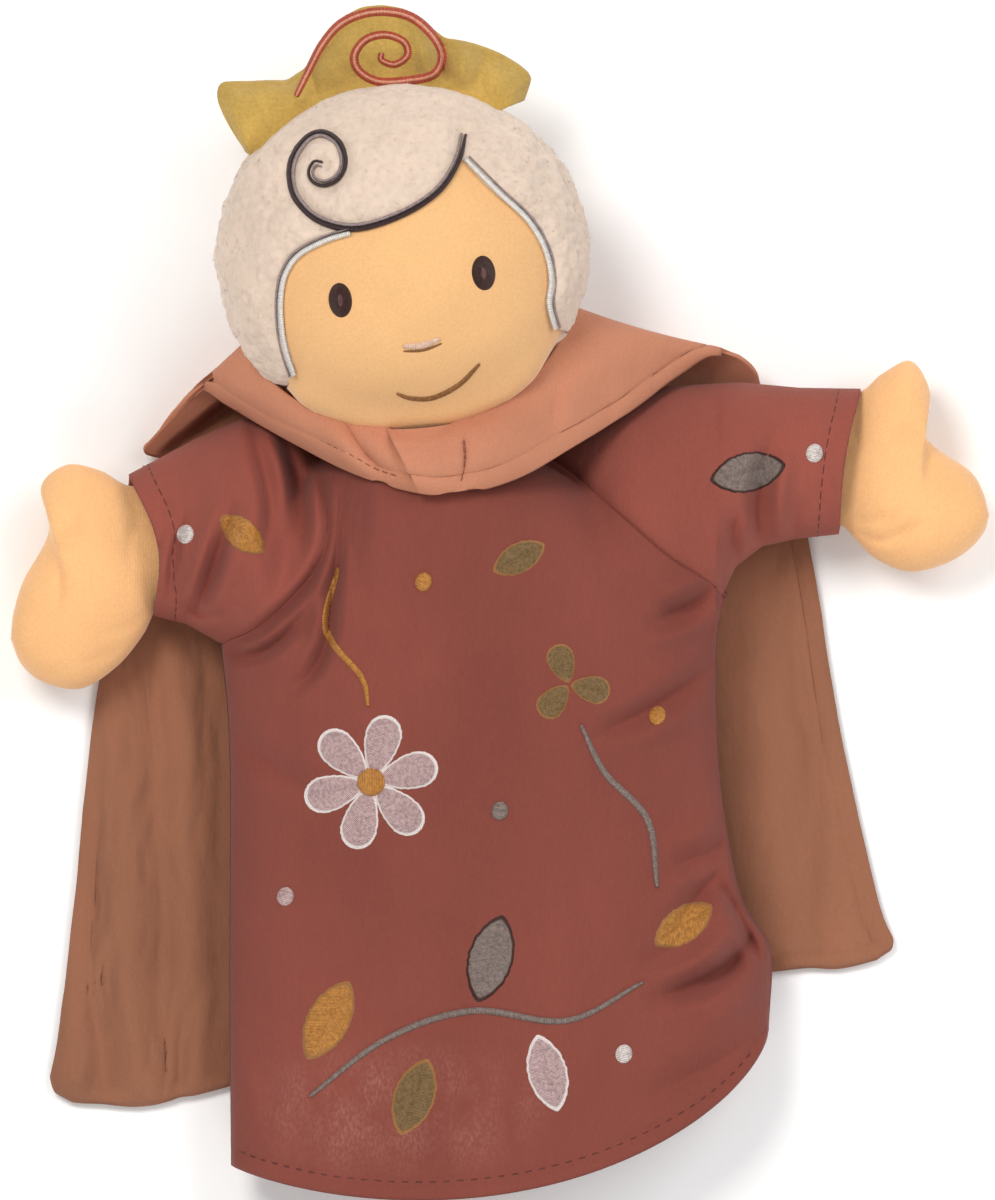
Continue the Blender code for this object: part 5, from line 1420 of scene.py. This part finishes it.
def makeCape(rows=120, columns=216):
    # a sheet between four edges: the sum of its two edge-to-edge blends, less the blend of its corners
    u = (1 - np.cos(np.linspace(0, np.pi, columns))) / 2 * 0.75 + np.linspace(0, 1, columns) * 0.25
    v = np.linspace(0, 1, rows)
    left, right = lineThrough(cape["left"], v)[:, None], lineThrough(cape["right"], v)[:, None]
    foot, top = lineThrough(cape["hem"], u)[None], lineThrough(cape["top"], u)[None]
    a, b = u[None, :, None], v[:, None, None]
    corners = (
        (1 - b) * ((1 - a) * foot[:, :1] + a * foot[:, -1:])
        + b * ((1 - a) * top[:, :1] + a * top[:, -1:])
    )
    flat = (1 - a) * left + a * right + (1 - b) * foot + b * top - corners
    # the two lower corners are rounded off
    edge = np.broadcast_to(np.minimum(u, 1 - u) * 175, (rows, columns))
    up = np.broadcast_to(v[:, None] * 150, (rows, columns))
    near = np.clip(1 - edge / cape["corner"], 0, 1) * np.clip(1 - up / cape["corner"], 0, 1)
    inward = np.where(u[None, :, None] < 0.5, np.array([0.7, 0.7]), np.array([-0.7, 0.7]))
    flat = flat + (near * cape["corner"] * 0.42)[..., None] * inward
    # a slight waver keeps the outline from running dead straight
    waver = 0.5 * cloudNoise(flat[..., 1] * 1.0, 0 * edge, 0 * edge, 14) * np.exp(-edge / 12)
    x, y = flat[..., 0] + waver, flat[..., 1]
    border = np.minimum(np.minimum(edge, up), 9.0)
    roll = np.exp(-((border - 1.4) / 1.4) ** 2) - 0.7 * np.exp(-((border - 4.2) / 0.8) ** 2)
    z = np.maximum(capeZ(x, y) * easeStep(-1, 5, border) + cape["hemRoll"] * roll + 0.35, 0)
    low, high = chestEdges(np.minimum(y, armpitY))
    inside = np.minimum(x - low, high - x)
    # under the tunic it lies flat
    z = np.where(inside > -cape["inside"], np.minimum(z, 0.2 + np.clip(-inside, 0, None) * 0.9), z)
    points = np.dstack([x, y, z])
    piece = addPiece("cape", points, gridQuads(rows, columns), shadedCapeCotton, "cape_panel")
    thicken(piece, cape["cloth"], outwards=True)
    return piece


capePiece = makeCape()


# the head's seam at the chin: a pale welt on the face where the collar meets it

def roundCord(name, line, radius, material, sides=10):
    # a closed tube round a line of 3-D points: at each point a circle across the line's direction
    along = np.gradient(line, axis=0)
    side = np.cross(along, np.array([0.0, 0.0, 1.0]))
    side = side / np.linalg.norm(side, axis=1, keepdims=True)
    up = np.cross(side, along)
    up = up / np.linalg.norm(up, axis=1, keepdims=True)
    turn = np.linspace(0, 2 * np.pi, sides, endpoint=False)
    thick = radius * np.clip(np.sin(np.pi * np.linspace(0.02, 0.98, len(line))), 0, 1) ** 0.25
    points = line[:, None] + (side[:, None] * np.cos(turn)[:, None]
                              + up[:, None] * np.sin(turn)[:, None]) * thick[:, None, None]
    caps = [list(range(sides))[::-1], [(len(line) - 1) * sides + k for k in range(sides)]]
    piece = addPiece(name, points, gridQuads(len(line), sides, wrap=True), material, caps=caps)
    return piece


chin = {"from": -124, "to": -36, "slope": 12.0, "raise": 3.75, "radius": 0.42, "colour": (0.90, 0.66, 0.40)}
chinTurn = np.radians(np.linspace(chin["from"], chin["to"], 150))
chinSlope = np.radians(chin["slope"])
chinWay = np.column_stack([np.cos(chinTurn) * np.cos(chinSlope), np.sin(chinTurn) * np.cos(chinSlope),
                           np.full(150, np.sin(chinSlope))])
chinRaise = face["height"] + (chin["raise"] - face["height"]) * chinShare(chinWay[:, 0], chinWay[:, 1])
roundCord("chin welt", ballPoint(chinWay, chinRaise), chin["radius"],
          knitJersey("welt jersey", chin["colour"]))
print("cape ready")


# collar stitching: the line along its left front edge, and a solid dark thread line along the edge of its
# lapped upper end, which is painted shadow

collarGrid = collarPoints.reshape(-1, 3)


def onCollar(path, count=60):
    # a line of points on the collar: each takes the height of the highest of the nearest grid points
    flat = evenLine(path, count)
    gaps = np.hypot(collarGrid[None, :, 0] - flat[:, None, 0], collarGrid[None, :, 1] - flat[:, None, 1])
    nearest = np.argsort(gaps, axis=1)[:, :12]
    z = np.take(collarGrid[:, 2], nearest).max(axis=1)
    z = np.convolve(np.pad(z, 2, mode="edge"), np.ones(5) / 5, "valid")
    return np.column_stack([flat, z + collar["cloth"] + 0.05])


collarLines = {
    "collar stitches": [(-56, 40.2), (-49, 37.9), (-44.4, 37.2), (-37, 33.4), (-30.9, 30.4), (-25.9, 27.6),
                        (-20.4, 25.8)],
    # a solid dark line along the lapped end's edge: painted shadow
    "collar lap shadow line": [(-7.6, 34.2), (-7.2, 29.8), (-8.2, 24.4)],
}
for seamName, path in collarLines.items():
    line = onCollar(path)
    runningStitch(seamName, line, np.tile([0.0, -0.35, 1.0], (len(line), 1)), "collarStitchAndShadow",
                  width=0.26, long=1.5, gapAfter=0.5 if seamName == "collar stitches" else 0.02, sink=0.0)
print("collar ready")


# the pieces kept as packed only get their cloth and card

plainMaterials = {"neck": faceJersey, "finger_tube": plainCard("tube card", (0.50, 0.36, 0.22)),
                  "head_stuffing": feltVelour("fibre filling", (0.85, 0.84, 0.80))}
for nodeName, material in plainMaterials.items():
    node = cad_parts[nodeName]
    node.data.materials.clear()
    node.data.materials.append(material)


# camera: straight above, the photo's top towards the crown; 1200 rows of the picture are 252 mm

camera = bpy.data.objects.new("camera", bpy.data.cameras.new("camera"))
bpy.context.scene.collection.objects.link(camera)
cameraHeight, focusHeight, pictureHigh = 12.0, 0.018, 0.252
camera.location = (-0.0005 + offset[0] * mm, 0.0002 + offset[1] * mm, cameraHeight)
camera.data.sensor_fit = "VERTICAL"
camera.data.sensor_height = 24
camera.data.lens = 24 * (cameraHeight - focusHeight) / pictureHigh
camera.data.clip_start, camera.data.clip_end = 0.1, 30
bpy.context.scene.camera = camera


# a pale floor that keeps the puppet's shadow, and a white surround

world = bpy.data.worlds.new("studio")
bpy.context.scene.world = world
world.use_nodes = True
nodes, links = world.node_tree.nodes, world.node_tree.links
background = nodes["Background"]
background.inputs["Color"].default_value = (1, 1, 1, 1)
background.inputs["Strength"].default_value = 0.36
white = nodes.new("ShaderNodeBackground")
white.inputs["Color"].default_value = (1, 1, 1, 1)
white.inputs["Strength"].default_value = 1.0
lightPath = nodes.new("ShaderNodeLightPath")
mix = nodes.new("ShaderNodeMixShader")
links.new(lightPath.outputs["Is Camera Ray"], mix.inputs[0])
links.new(background.outputs[0], mix.inputs[1])
links.new(white.outputs[0], mix.inputs[2])
links.new(mix.outputs[0], nodes["World Output"].inputs["Surface"])

floorMesh = bpy.data.meshes.new("floor")
floorMesh.from_pydata([(-2, -2, -0.0006), (2, -2, -0.0006), (2, 2, -0.0006), (-2, 2, -0.0006)], [],
                      [(0, 1, 2, 3)])
floorMaterial, _ = startMaterial("floor", (1.0, 1.0, 1.0), 1.0)
floorMesh.materials.append(floorMaterial)
floor = bpy.data.objects.new("floor", floorMesh)
bpy.context.scene.collection.objects.link(floor)

lamps = [
    {"name": "key", "at": (-0.5, 0.62, 1.35), "size": 0.55, "watts": 12.8, "colour": (1.0, 0.98, 0.95)},
    {"name": "fill", "at": (0.85, 0.5, 1.15), "size": 0.9, "watts": 9.5, "colour": (0.98, 0.99, 1.0)},
    {"name": "low", "at": (-0.1, -1.1, 0.8), "size": 1.0, "watts": 7.0, "colour": (1.0, 0.99, 0.98)},
]
for lamp in lamps:
    light = bpy.data.lights.new(lamp["name"], "AREA")
    light.size = lamp["size"]
    light.energy = lamp["watts"]
    light.color = lamp["colour"]
    lightObject = bpy.data.objects.new(lamp["name"], light)
    lightObject.location = lamp["at"]
    aim = -np.array(lamp["at"])
    lightObject.rotation_euler = (np.arctan2(np.hypot(aim[0], aim[1]), -aim[2]), 0,
                                  np.arctan2(aim[1], aim[0]) - np.pi / 2)
    bpy.context.scene.collection.objects.link(lightObject)

bpy.context.scene.view_settings.view_transform = "Standard"
